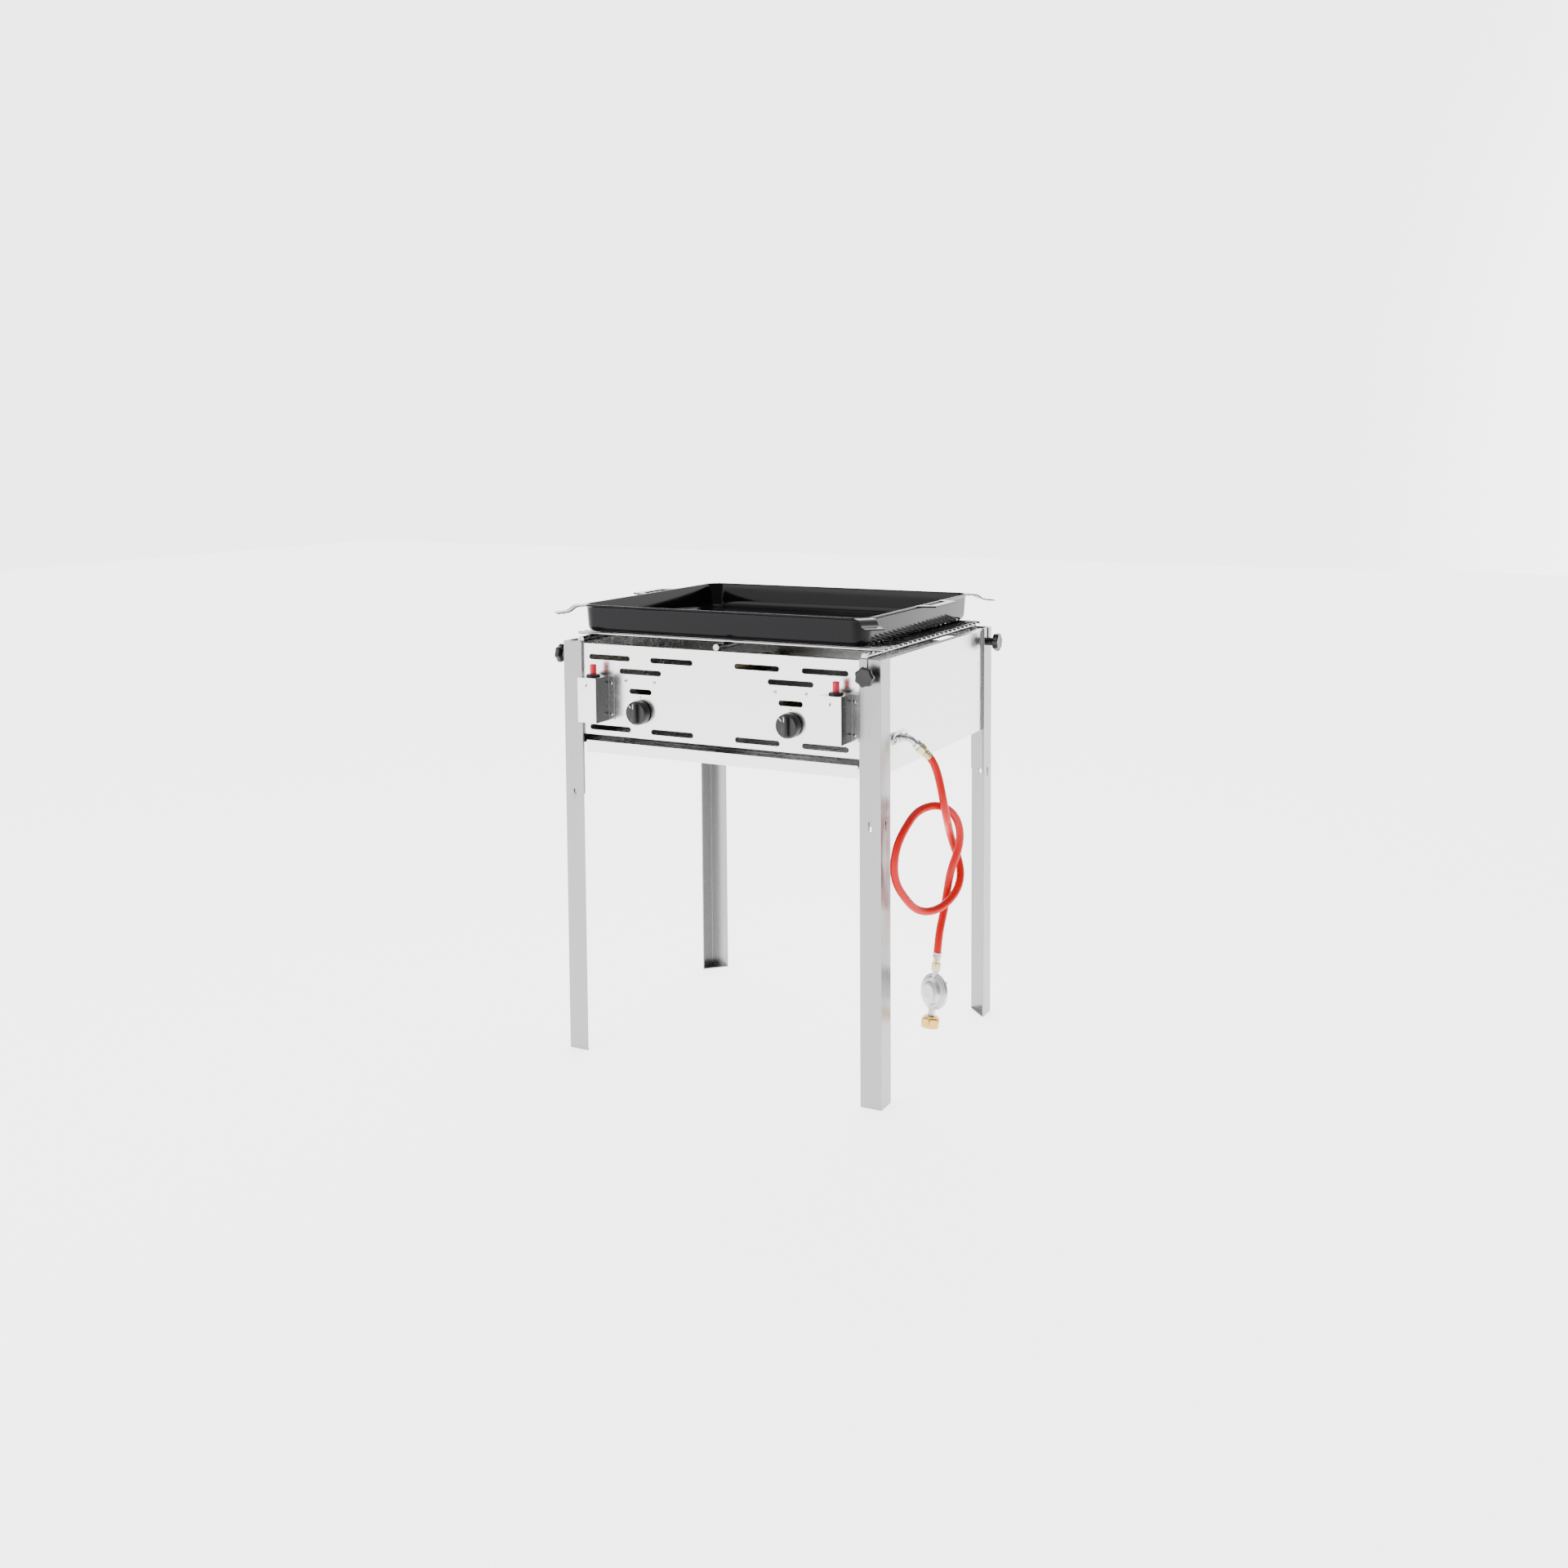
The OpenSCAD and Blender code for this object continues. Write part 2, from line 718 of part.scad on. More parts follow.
// Tongues that run out from the corners, step down and lie flat over the legs
module pan_tongues() {
    k = pan_corner_r * (1 - cos(45)) - 1;
    color([0.09, 0.09, 0.1]) for (sx = [-1, 1], sy = [-1, 1])
        translate([pan_x + sx * (pan_w / 2 - k), pan_y + sy * (pan_d / 2 - k), pan_rim_z - rim_h])
            rotate([0, 0, atan2(sy, sx)]) rotate([90, 0, 0]) translate([0, 0, -tongue_w / 2])
                linear_extrude(tongue_w) polygon([[2.6, 0], [22, 0], [33, -10], [56, -12], [56, -12 - tongue_t],
                    [32, -10 - tongue_t], [20, -tongue_t], [2.6, -tongue_t]]);
}

// ---------------------------------------------------------------- inlet, hose and regulator

module at_inlet() {
    translate([panel_x, manifold_y, manifold_z]) rotate([inlet_roll, 0, 0]) children();
}

// The straight end of the inlet pipe, with local +X along it
module at_fitting() {
    at_inlet() translate([inlet_corner, 0, 0]) rotate([0, inlet_turn, 0]) children();
}

module inlet_pipe() {
    lead = inlet_bend_r * tan(inlet_turn / 2);
    color("silver") {
        difference() {
            sheet_along(panel_x, 3) translate([manifold_y, manifold_z]) slot_2d(66, 22);
            for (s = [-1, 1]) translate([panel_x - 1, manifold_y + s * 25, manifold_z]) rotate([0, 90, 0])
                cylinder(r = 2 + fit, h = 5);
        }
        at_inlet() {
            translate([inlet_end_x - panel_x, 0, 0]) rotate([0, 90, 0])
                cylinder(r = pipe_r, h = inlet_straight + panel_x - inlet_end_x);
            translate([inlet_straight, 0, -inlet_bend_r]) rotate([90, 0, 0])
                rotate([0, 0, 90 - inlet_turn]) rotate_extrude(angle = inlet_turn)
                    translate([inlet_bend_r, 0]) circle(r = pipe_r);
        }
        at_fitting() translate([lead - 1, 0, 0]) rotate([0, 90, 0]) cylinder(r = pipe_r + 0.6, h = 6);
    }
}

module inlet_nut() {
    color("silver") at_fitting() translate([14, 0, 0]) rotate([0, 90, 0]) hexagon(15, 8);
}

module hose_connector() {
    color("darkkhaki") at_fitting() translate([22, 0, 0]) rotate([0, 90, 0]) difference() {
        union() {
            hexagon(17, 12);
            translate([0, 0, 12]) cylinder(r = hose_dia / 2 - 0.5, h = 3);
            translate([0, 0, 15]) cylinder(r = hose_dia / 2 + 1, h = 13);
        }
        translate([0, 0, 17]) cylinder(r = hose_dia / 2, h = 20);
    }
}

// Uniform cubic B-spline through a list of control points, starting and ending on its ends
function spline_at(p, i, t) =
    (pow(1 - t, 3) * p[i] + (3 * pow(t, 3) - 6 * t * t + 4) * p[i + 1]
    + (-3 * pow(t, 3) + 3 * t * t + 3 * t + 1) * p[i + 2] + pow(t, 3) * p[i + 3]) / 6;
function padded(p) = concat([2 * p[0] - p[1]], p, [2 * p[len(p) - 1] - p[len(p) - 2]]);
function spline(p, m) = let (q = padded(p), n = len(p) - 1)
    concat([for (i = [0:n - 1], k = [0:m - 1]) spline_at(q, i, k / m)], [p[n]]);
function unit(v) = v / norm(v);
function tangent(c, i) = unit(c[min(i + 1, len(c) - 1)] - c[max(i - 1, 0)]);
// Each ring's first direction is the last one's, turned as little as the path allows
function frames(c, i = 0, u = undef) =
    let (t = tangent(c, i), s = is_undef(u) ? cross(t, [0, 0, 1]) : u - t * (u * t), v = unit(s))
    i == len(c) - 1 ? [v] : concat([v], frames(c, i + 1, v));

module tube_along(route, r, sides, steps) {
    c = spline(route, steps);
    f = frames(c);
    n = len(c);
    pts = [for (i = [0:n - 1], k = [0:sides - 1])
        let (a = k * 360 / sides, w = cross(tangent(c, i), f[i])) c[i] + r * (cos(a) * f[i] + sin(a) * w)];
    caps = [[for (k = [0:sides - 1]) k], [for (k = [sides - 1:-1:0]) (n - 1) * sides + k]];
    walls = [for (i = [0:n - 2], k = [0:sides - 1])
        let (a = i * sides + k, b = i * sides + (k + 1) % sides) [a, a + sides, b + sides, b]];
    polyhedron(points = pts, faces = concat(caps, walls));
}

module gas_hose() {
    color("red") tube_along(hose_route, hose_dia / 2, hose_sides, hose_steps);
}

module at_regulator() {
    translate(reg_top) rotate([0, reg_tilt, reg_turn]) children();
}

// The disc's own frame, with local +Z along its axis, towards the cover
module at_disc() {
    at_regulator() translate([0, 0, disc_z]) rotate([0, 0, disc_turn]) rotate([0, 90, 0]) children();
}

module hose_end_ferrule() {
    color("silver") at_regulator() difference() {
        union() {
            translate([0, 0, -4]) cylinder(r = hose_dia / 2 + 1, h = 5);
            translate([0, 0, -10]) cylinder(r1 = 6, r2 = hose_dia / 2 + 1, h = 6);
        }
        translate([0, 0, -8.5]) cylinder(r = hose_dia / 2 - 0.6, h = 20);
    }
}

module regulator_nut() {
    color("darkkhaki") at_regulator() translate([0, 0, -31]) hexagon(15, 21);
}

// The cover's dome, which the stems stop short of
module cover_form() {
    rotate_extrude() polygon([[0, 0], [disc_r, 0], [disc_r, 2], [disc_r - 2, 3],
        [disc_r - 5, 5], [20, 10], [15, 11.5], [0, 11.5]]);
}

module regulator_body() {
    color("silver") {
        difference() {
            at_regulator() {
                translate([0, 0, disc_z + 20]) cylinder(r = 5.3, h = -31 - disc_z - 20);
                translate([0, 0, cyl_nut_z[0] + 16]) cylinder(r = neck_r, h = disc_z - 20 - cyl_nut_z[0] - 16);
                translate([0, 0, cyl_nut_z[0] + 14.2]) cylinder(r = 9.5, h = 3.3);
            }
            at_disc() cover_form();
        }
        at_disc() rotate_extrude() polygon([[0, -17], [14, -17], [19, -14], [22, -7], [disc_r - 2, -4],
            [disc_r, -3], [disc_r, 0], [0, 0]]);
    }
}

module regulator_cover() {
    color("gainsboro") at_disc() cover_form();
}

module regulator_cap() {
    color("white") at_disc() translate([0, 0, 11.5]) rotate_extrude()
        polygon([[0, 0], [13, 0], [13, 2], [12, 3], [0, 3]]);
}

module cylinder_nut() {
    h = cyl_nut_z[1] - cyl_nut_z[0];
    color("goldenrod") at_regulator() translate([0, 0, cyl_nut_z[0]]) difference() {
        hexagon(30, h);
        translate([0, 0, -1]) cylinder(r = thread_r, h = 15);
        translate([0, 0, 13.9]) cylinder(r = thread_r + 0.8, h = 3.8);
        translate([0, 0, 10]) cylinder(r = neck_r + fit, h = h);
    }
}

// ---------------------------------------------------------------- nodes

front_panel();
back_panel();
left_side_panel();
right_side_panel();
post_front_left();
post_front_right();
post_back_left();
post_back_right();
leg_front_left();
leg_front_right();
leg_back_left();
leg_back_right();
star_knob_front_left();
star_knob_front_right();
star_knob_back_left();
star_knob_back_right();
clamp_nuts();
tray_runners();
drip_tray();
burner_left();
burner_right();
burner_crossbars();
gas_manifold();
valve_body_left();
valve_body_right();
valve_plunger_left();
valve_plunger_right();
valve_spring_left();
valve_spring_right();
spindle_left();
spindle_right();
gas_knob_left();
gas_knob_right();
injectors();
electrodes();
thermocouples();
igniter_box_left();
igniter_box_right();
igniter_body_left();
igniter_body_right();
igniter_button_left();
igniter_button_right();
panel_screws();
grate_rods();
grate_wires();
pan();
pan_handle_left();
pan_handle_right();
pan_tongues();
inlet_pipe();
inlet_nut();
hose_connector();
gas_hose();
hose_end_ferrule();
regulator_nut();
regulator_body();
regulator_cover();
regulator_cap();
cylinder_nut();
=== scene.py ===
"""Looks of the two-burner gas cooking stand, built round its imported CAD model.

Metres, Z up, front towards -Y. Forms are drawn in millimetres in the CAD model's own frame.
"""

import json
import math

import bmesh
import bpy
from mathutils import Matrix, Vector


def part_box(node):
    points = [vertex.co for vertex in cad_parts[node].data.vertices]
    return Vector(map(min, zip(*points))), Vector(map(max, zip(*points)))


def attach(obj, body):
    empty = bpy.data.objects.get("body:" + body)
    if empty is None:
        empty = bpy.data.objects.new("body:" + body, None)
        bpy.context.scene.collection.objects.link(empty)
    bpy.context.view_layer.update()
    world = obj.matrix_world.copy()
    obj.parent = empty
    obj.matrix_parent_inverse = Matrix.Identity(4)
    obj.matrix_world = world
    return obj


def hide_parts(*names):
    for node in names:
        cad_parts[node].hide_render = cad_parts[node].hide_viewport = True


MM = 0.001
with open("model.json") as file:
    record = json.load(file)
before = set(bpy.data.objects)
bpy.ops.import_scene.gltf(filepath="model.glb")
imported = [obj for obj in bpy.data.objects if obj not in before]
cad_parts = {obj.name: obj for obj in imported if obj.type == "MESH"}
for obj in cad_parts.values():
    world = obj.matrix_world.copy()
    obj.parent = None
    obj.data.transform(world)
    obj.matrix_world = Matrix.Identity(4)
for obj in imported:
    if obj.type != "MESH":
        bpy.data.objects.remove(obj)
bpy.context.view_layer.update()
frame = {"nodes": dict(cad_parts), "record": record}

# ---------------------------------------------------------------- camera

SENSOR = 36.0
CAMERA_AT = (1.4019, -2.6782, 1.1495)
YAW, PITCH, ROLL = math.radians(27.56), math.radians(-4.37), math.radians(-0.38)
FOCAL_SHARE = 1.00529
SHIFT_Y = -0.1406


def make_camera():
    """A camera a little above the pan, looking across the stand from its front right."""
    ahead = Vector((-math.sin(YAW) * math.cos(PITCH), math.cos(YAW) * math.cos(PITCH), math.sin(PITCH)))
    flat_right = Vector((math.cos(YAW), math.sin(YAW), 0))
    flat_up = flat_right.cross(ahead)
    right = math.cos(ROLL) * flat_right + math.sin(ROLL) * flat_up
    up = right.cross(ahead)
    data = bpy.data.cameras.new("camera")
    data.sensor_width = SENSOR
    data.lens = SENSOR * FOCAL_SHARE
    data.shift_y = SHIFT_Y
    data.clip_end = 50
    camera = bpy.data.objects.new("camera", data)
    bpy.context.scene.collection.objects.link(camera)
    turn = Matrix((right, up, -ahead)).transposed().to_4x4()
    camera.matrix_world = Matrix.Translation(CAMERA_AT) @ turn
    bpy.context.scene.camera = camera


make_camera()

# ---------------------------------------------------------------- materials


def node(tree, kind, x, y, **values):
    made = tree.nodes.new(kind)
    made.location = (x, y)
    for key, value in values.items():
        if key in made.inputs:
            made.inputs[key].default_value = value
        else:
            setattr(made, key, value)
    return made


def noise(tree, y, scale, stretch, detail=3.0):
    """A noise pattern in the piece's own place, pulled out along the axes that stretch makes small."""
    place = node(tree, "ShaderNodeTexCoord", -1400, y)
    pull = node(tree, "ShaderNodeMapping", -1200, y)
    pull.inputs["Scale"].default_value = stretch
    made = node(tree, "ShaderNodeTexNoise", -1000, y, Scale=scale, Detail=detail)
    tree.links.new(place.outputs["Object"], pull.inputs["Vector"])
    tree.links.new(pull.outputs["Vector"], made.inputs["Vector"])
    return made.outputs["Fac"]


def level(tree, value, y, low, high, start=0.0, end=1.0):
    """A soft step from start to end while a value goes from low to high."""
    made = node(tree, "ShaderNodeMapRange", -500, y, interpolation_type="SMOOTHSTEP")
    for socket, number in (("From Min", low), ("From Max", high), ("To Min", start), ("To Max", end)):
        made.inputs[socket].default_value = number
    tree.links.new(value, made.inputs["Value"])
    return made.outputs["Result"]


def along(tree, vector, toward, y):
    """How far a vector reaches in a direction."""
    made = node(tree, "ShaderNodeVectorMath", -700, y, operation="DOT_PRODUCT")
    made.inputs[1].default_value = Vector(toward).normalized()
    tree.links.new(vector, made.inputs[0])
    return made.outputs["Value"]


def mathed(tree, operation, y, *values):
    """A sum, product or the like of numbers and other nodes' values."""
    made = node(tree, "ShaderNodeMath", -300, y, operation=operation)
    for socket, value in zip(made.inputs, values):
        if isinstance(value, float):
            socket.default_value = value
        else:
            tree.links.new(value, socket)
    return made.outputs["Value"]


MATERIALS = {}
DUST = (0.5, 0.48, 0.45, 1)


def material(name, color, metallic=0.0, rough=0.4, rough_range=0.06, wear_scale=30.0, tone=0.04,
             grain=400.0, grain_depth=0.00002, stretch=(1, 1, 1), edge=0.0005, specular=0.5, spots=0.0):
    """A surface with an uneven tone and polish, a fine grain, softened edges and, on request, dusty spots."""
    made = bpy.data.materials.new(name)
    made.use_nodes = True
    tree = made.node_tree
    shader = tree.nodes["Principled BSDF"]
    shader.inputs["Metallic"].default_value = metallic
    shader.inputs["Specular IOR Level"].default_value = specular

    wear = noise(tree, 300, wear_scale, stretch)
    polish = node(tree, "ShaderNodeMapRange", -700, 150)
    polish.inputs["From Min"].default_value = 0.3
    polish.inputs["From Max"].default_value = 0.7
    polish.inputs["To Min"].default_value = max(rough - rough_range, 0.02)
    polish.inputs["To Max"].default_value = rough + rough_range
    tree.links.new(wear, polish.inputs["Value"])
    tree.links.new(polish.outputs["Result"], shader.inputs["Roughness"])

    dark = [c * (1 - tone) for c in color] + [1]
    light = [min(c * (1 + tone), 1) for c in color] + [1]
    shade = node(tree, "ShaderNodeMix", -700, 450, data_type="RGBA")
    shade.inputs[6].default_value = dark
    shade.inputs[7].default_value = light
    tree.links.new(wear, shade.inputs[0])
    paint = shade.outputs[2]
    if spots:
        dust = node(tree, "ShaderNodeMapRange", -700, 700)
        dust.inputs["From Min"].default_value = 0.62
        dust.inputs["From Max"].default_value = 0.75
        dust.inputs["To Max"].default_value = spots
        tree.links.new(noise(tree, 700, wear_scale * 8, (1, 1, 1), 5.0), dust.inputs["Value"])
        dusty = node(tree, "ShaderNodeMix", -450, 550, data_type="RGBA")
        dusty.inputs[7].default_value = DUST
        tree.links.new(dust.outputs["Result"], dusty.inputs[0])
        tree.links.new(paint, dusty.inputs[6])
        paint = dusty.outputs[2]
    tree.links.new(paint, shader.inputs["Base Color"])

    bump = node(tree, "ShaderNodeBump", -300, -200, Strength=1.0, Distance=grain_depth)
    tree.links.new(noise(tree, -200, grain, stretch, 4.0), bump.inputs["Height"])
    if edge:
        soft = node(tree, "ShaderNodeBevel", -700, -500, samples=4)
        soft.inputs["Radius"].default_value = edge
        tree.links.new(soft.outputs["Normal"], bump.inputs["Normal"])
    tree.links.new(bump.outputs["Normal"], shader.inputs["Normal"])
    MATERIALS[name] = made


ALONG_X, ALONG_Y, ALONG_Z = (0.03, 1, 1), (1, 0.03, 1), (1, 1, 0.03)
material("stainless", (0.74, 0.74, 0.735), metallic=1.0, rough=0.24, rough_range=0.05, wear_scale=60,
         tone=0.03, grain=900, grain_depth=0.000004, stretch=ALONG_X, edge=0.0006)
# The legs' and posts' stainless, with shade painted into it as a darker colour than the body's
material("stainless_leg_painted_shade", (0.27, 0.27, 0.27), metallic=1.0, rough=0.27, rough_range=0.05, wear_scale=60,
         tone=0.03, grain=900, grain_depth=0.000005, stretch=ALONG_Z, edge=0.0012)
material("stainless_dull", (0.55, 0.55, 0.54), metallic=1.0, rough=0.38, rough_range=0.08, wear_scale=25,
         tone=0.08, grain=500, grain_depth=0.00001, stretch=ALONG_Y, edge=0.0006)
# Steel of the parts inside the body, painted dark as the shade they sit in
material("steel_shade", (0.16, 0.16, 0.16), metallic=1.0, rough=0.42, rough_range=0.08, wear_scale=25,
         tone=0.15, grain=500, grain_depth=0.00001, stretch=ALONG_X, edge=0.0006)
# Brass of the burners, painted dark as the shade under the pan
material("brass_painted_shade", (0.10, 0.07, 0.03), metallic=1.0, rough=0.35, rough_range=0.08, wear_scale=40,
         tone=0.25, grain=600, grain_depth=0.00001, stretch=ALONG_X, edge=0.0004)
material("enamel_black", (0.004, 0.004, 0.005), rough=0.1, rough_range=0.03, wear_scale=12, tone=0.1,
         grain=150, grain_depth=0.00001, edge=0.0012, specular=0.12, spots=0.004)
material("plastic_black", (0.005, 0.005, 0.006), rough=0.2, rough_range=0.06, wear_scale=60, tone=0.1,
         grain=700, grain_depth=0.00001, edge=0.0006, specular=0.35)
material("plastic_black_matt", (0.006, 0.006, 0.0065), rough=0.32, rough_range=0.08, wear_scale=80,
         tone=0.1, grain=1500, grain_depth=0.00002, edge=0.0005, specular=0.35)
material("plastic_red", (0.56, 0.0, 0.035), rough=0.25, rough_range=0.06, wear_scale=60, tone=0.06,
         grain=900, grain_depth=0.000006, edge=0.0006, specular=0.35)
material("plastic_white", (0.82, 0.82, 0.80), rough=0.35, rough_range=0.05, wear_scale=60, tone=0.03,
         grain=900, grain_depth=0.000006, edge=0.0004)
material("brass", (0.62, 0.38, 0.10), metallic=1.0, rough=0.24, rough_range=0.07, wear_scale=60,
         tone=0.12, grain=900, grain_depth=0.000008, edge=0.0004)
material("brass_pale", (0.55, 0.48, 0.28), metallic=1.0, rough=0.25, rough_range=0.06, wear_scale=60,
         tone=0.08, grain=900, grain_depth=0.000008, edge=0.0004)
material("chrome", (0.55, 0.55, 0.56), metallic=1.0, rough=0.09, rough_range=0.03, wear_scale=60,
         tone=0.03, grain=900, grain_depth=0.000003, edge=0.0003)
material("zinc", (0.50, 0.50, 0.50), metallic=1.0, rough=0.36, rough_range=0.07, wear_scale=50, tone=0.05,
         grain=700, grain_depth=0.00002, edge=0.0004)
material("wire", (0.42, 0.42, 0.42), metallic=1.0, rough=0.16, rough_range=0.05, wear_scale=50, tone=0.05,
         grain=700, grain_depth=0.000006, edge=0.0006)
material("hose_red", (0.50, 0.0, 0.0), rough=0.4, rough_range=0.06, wear_scale=25, tone=0.07, grain=1200,
         grain_depth=0.00001, edge=0.0, specular=0.2)
material("ceramic", (0.82, 0.80, 0.74), rough=0.2, rough_range=0.05, wear_scale=80, tone=0.04, grain=900,
         grain_depth=0.000005, edge=0.0003)
material("copper", (0.72, 0.38, 0.22), metallic=1.0, rough=0.3, rough_range=0.08, wear_scale=80, tone=0.1,
         grain=900, grain_depth=0.00001, edge=0.0003)
material("ink", (0.012, 0.012, 0.012), rough=0.5, rough_range=0.08, wear_scale=80, tone=0.1, grain=900,
         grain_depth=0.000005, edge=0.0)
# Near black, painted as the shade in the screws' cross recesses
material("recess_painted_shade", (0.008, 0.008, 0.008), rough=0.7, rough_range=0.08, wear_scale=80, tone=0.1,
         grain=900, grain_depth=0.000005, edge=0.0)


def shade_sides(metal):
    """A copy of a metal whose faces towards +X are painted dark, as painted shade in the lee of the folded
    box.
    """
    made = metal.copy()
    made.name = "stainless_box_painted_shade"
    tree = made.node_tree
    shader = tree.nodes["Principled BSDF"]
    plain = shader.inputs["Base Color"].links[0].from_socket
    facing = node(tree, "ShaderNodeNewGeometry", -900, 950)
    share = level(tree, along(tree, facing.outputs["Normal"], (1, 0, 0), 950), 950, 0.5, 0.9)
    mixed = node(tree, "ShaderNodeMix", -150, 700, data_type="RGBA")
    mixed.inputs[7].default_value = (0.10, 0.10, 0.10, 1)
    tree.links.new(share, mixed.inputs[0])
    tree.links.new(plain, mixed.inputs[6])
    tree.links.new(mixed.outputs[2], shader.inputs["Base Color"])
    return made


# The igniter boxes' stainless, with painted shade on the sides towards +X
MATERIALS["stainless_box_painted_shade"] = shade_sides(MATERIALS["stainless"])
# The burners get brass painted dark as shade; the igniter boxes get stainless with painted shade on their
# sides towards +X
LOOKS = {"burner_left": "brass_painted_shade", "burner_right": "brass_painted_shade", "igniter_box_left": "stainless_box_painted_shade",
         "igniter_box_right": "stainless_box_painted_shade"}
# Parts inside the body, given the steel painted dark as shade
SHADED = ("burner_crossbars", "tray_runners", "gas_manifold", "thermocouples", "clamp_nuts")


def cad_look(part):
    """The look of a piece: its slot's own, apart from the legs and the posts, in stainless painted darker as
    shade, and the parts inside, painted dark as the shade they sit in.
    """
    name = part["node"]
    if name.startswith(("leg_", "post_")):
        return "stainless_leg_painted_shade"
    if name in SHADED:
        return "steel_shade"
    return LOOKS.get(name, part["material_slot"])


def paint_cad():
    for part in frame["record"]["subparts"]:
        slots = frame["nodes"][part["node"]].data.materials
        slots.clear()
        slots.append(MATERIALS[cad_look(part)])


paint_cad()

# ---------------------------------------------------------------- mesh helpers, in millimetres

HERE = Matrix.Identity(4)


def turned(axis, degrees):
    return Matrix.Rotation(math.radians(degrees), 4, axis)


def moved(x, y, z):
    return Matrix.Translation((x, y, z))


def piece(name, mesh, where, body, slot, look=None, replaces=(), smooth=38):
    """Puts a mesh drawn in millimetres in its place, shades it and ties it to its body."""
    mesh.transform(Matrix.Scale(MM, 4) @ where)
    mesh.polygons.foreach_set("use_smooth", [True] * len(mesh.polygons))
    mesh.set_sharp_from_angle(angle=math.radians(smooth))
    mesh.materials.append(MATERIALS[look or slot])
    made = bpy.data.objects.new(name, mesh)
    bpy.context.scene.collection.objects.link(made)
    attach(made, body)
    if replaces:
        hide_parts(*replaces)
    return made


def stacked(bm, loops, closed=False):
    """Joins closed loops of equally many points into a skin, capped at both ends or closed on itself."""
    rings = [[bm.verts.new(p) for p in loop] for loop in loops]
    pairs = list(zip(rings, rings[1:])) + ([(rings[-1], rings[0])] if closed else [])
    for low, high in pairs:
        for i in range(len(low)):
            j = (i + 1) % len(low)
            bm.faces.new((low[i], low[j], high[j], high[i]))
    if not closed:
        bm.faces.new(rings[0][::-1])
        bm.faces.new(rings[-1])


def finished(bm, name):
    bmesh.ops.recalc_face_normals(bm, faces=bm.faces)
    mesh = bpy.data.meshes.new(name)
    bm.to_mesh(mesh)
    bm.free()
    return mesh


def skin(name, *stacks, closed=False):
    bm = bmesh.new()
    for loops in stacks:
        stacked(bm, loops, closed)
    return finished(bm, name)


def rounded(points, radius, steps=4):
    """An open outline with its inner corners rounded, never by more than 45% of the shorter side."""
    out = [Vector(points[0])]
    for before, at, after in zip(points, points[1:], points[2:]):
        before, at, after = Vector(before), Vector(at), Vector(after)
        reach = min(radius, 0.45 * (before - at).length, 0.45 * (after - at).length)
        a = at + (before - at).normalized() * reach
        b = at + (after - at).normalized() * reach
        for i in range(steps + 1):
            t = i / steps
            out.append((1 - t) ** 2 * a + 2 * t * (1 - t) * at + t * t * b)
    out.append(Vector(points[-1]))
    return out


def round_rectangle(half_x, half_y, radius, z, steps, middle=(0, 0)):
    """A loop with round corners that starts on the right."""
    loop = []
    for quarter, (sx, sy) in enumerate(((1, 1), (-1, 1), (-1, -1), (1, -1))):
        for i in range(steps + 1):
            a = math.pi / 2 * (quarter + i / steps)
            x = middle[0] + sx * (half_x - radius) + radius * math.cos(a)
            y = middle[1] + sy * (half_y - radius) + radius * math.sin(a)
            loop.append((x, y, z))
    return loop


def circle(radius, z, sides=64):
    return [(radius * math.cos(2 * math.pi * i / sides), radius * math.sin(2 * math.pi * i / sides), z)
            for i in range(sides)]


def lathe(profile, radius=0.5, sides=64):
    """Loops of a turned form. The profile is a list of (radius, height), with its corners rounded."""
    return [circle(max(r, 0.01), z, sides) for r, z in rounded(profile, radius)]


def hexagon_radius(angle, across_flats):
    step = math.pi / 3
    return across_flats / 2 / math.cos((angle + step / 2) % step - step / 2)


def nut_loops(across, low, high, bore=0.0, chamfer=1.2, sides=96):
    """A hexagon nut whose corners are turned down to a cone at both ends, with an open bore on request."""
    corner = across / 2 / math.cos(math.pi / 6)
    flat = across / 2
    middle = flat + 0.55 * (corner - flat)
    cone = [(0, flat - 0.2), (chamfer * 0.45, middle), (chamfer, corner)]
    heights = [(low + rise, limit) for rise, limit in cone]
    heights += [(high - rise, limit) for rise, limit in reversed(cone)]
    loops = []
    if bore:
        loops += [circle(bore, high, sides), circle(bore, low, sides)]
    for z, limit in heights:
        loop = []
        for i in range(sides):
            angle = 2 * math.pi * i / sides
            r = min(hexagon_radius(angle, across), limit)
            loop.append((r * math.cos(angle), r * math.sin(angle), z))
        loops.append(loop)
    return loops


def tube_loops(points, radius, sides=24):
    """Rings round a path, each turned as little as the path allows."""
    points = [Vector(p) for p in points]
    loops = []
    side = None
    for i, at in enumerate(points):
        ahead = (points[min(i + 1, len(points) - 1)] - points[max(i - 1, 0)]).normalized()
        side = ahead.cross(Vector((0, 0, 1))) if side is None else side - ahead * side.dot(ahead)
        side.normalize()
        over = ahead.cross(side)
        r = radius[i] if isinstance(radius, list) else radius
        loops.append([at + r * (math.cos(a) * side + math.sin(a) * over)
                      for a in (2 * math.pi * k / sides for k in range(sides))])
    return loops


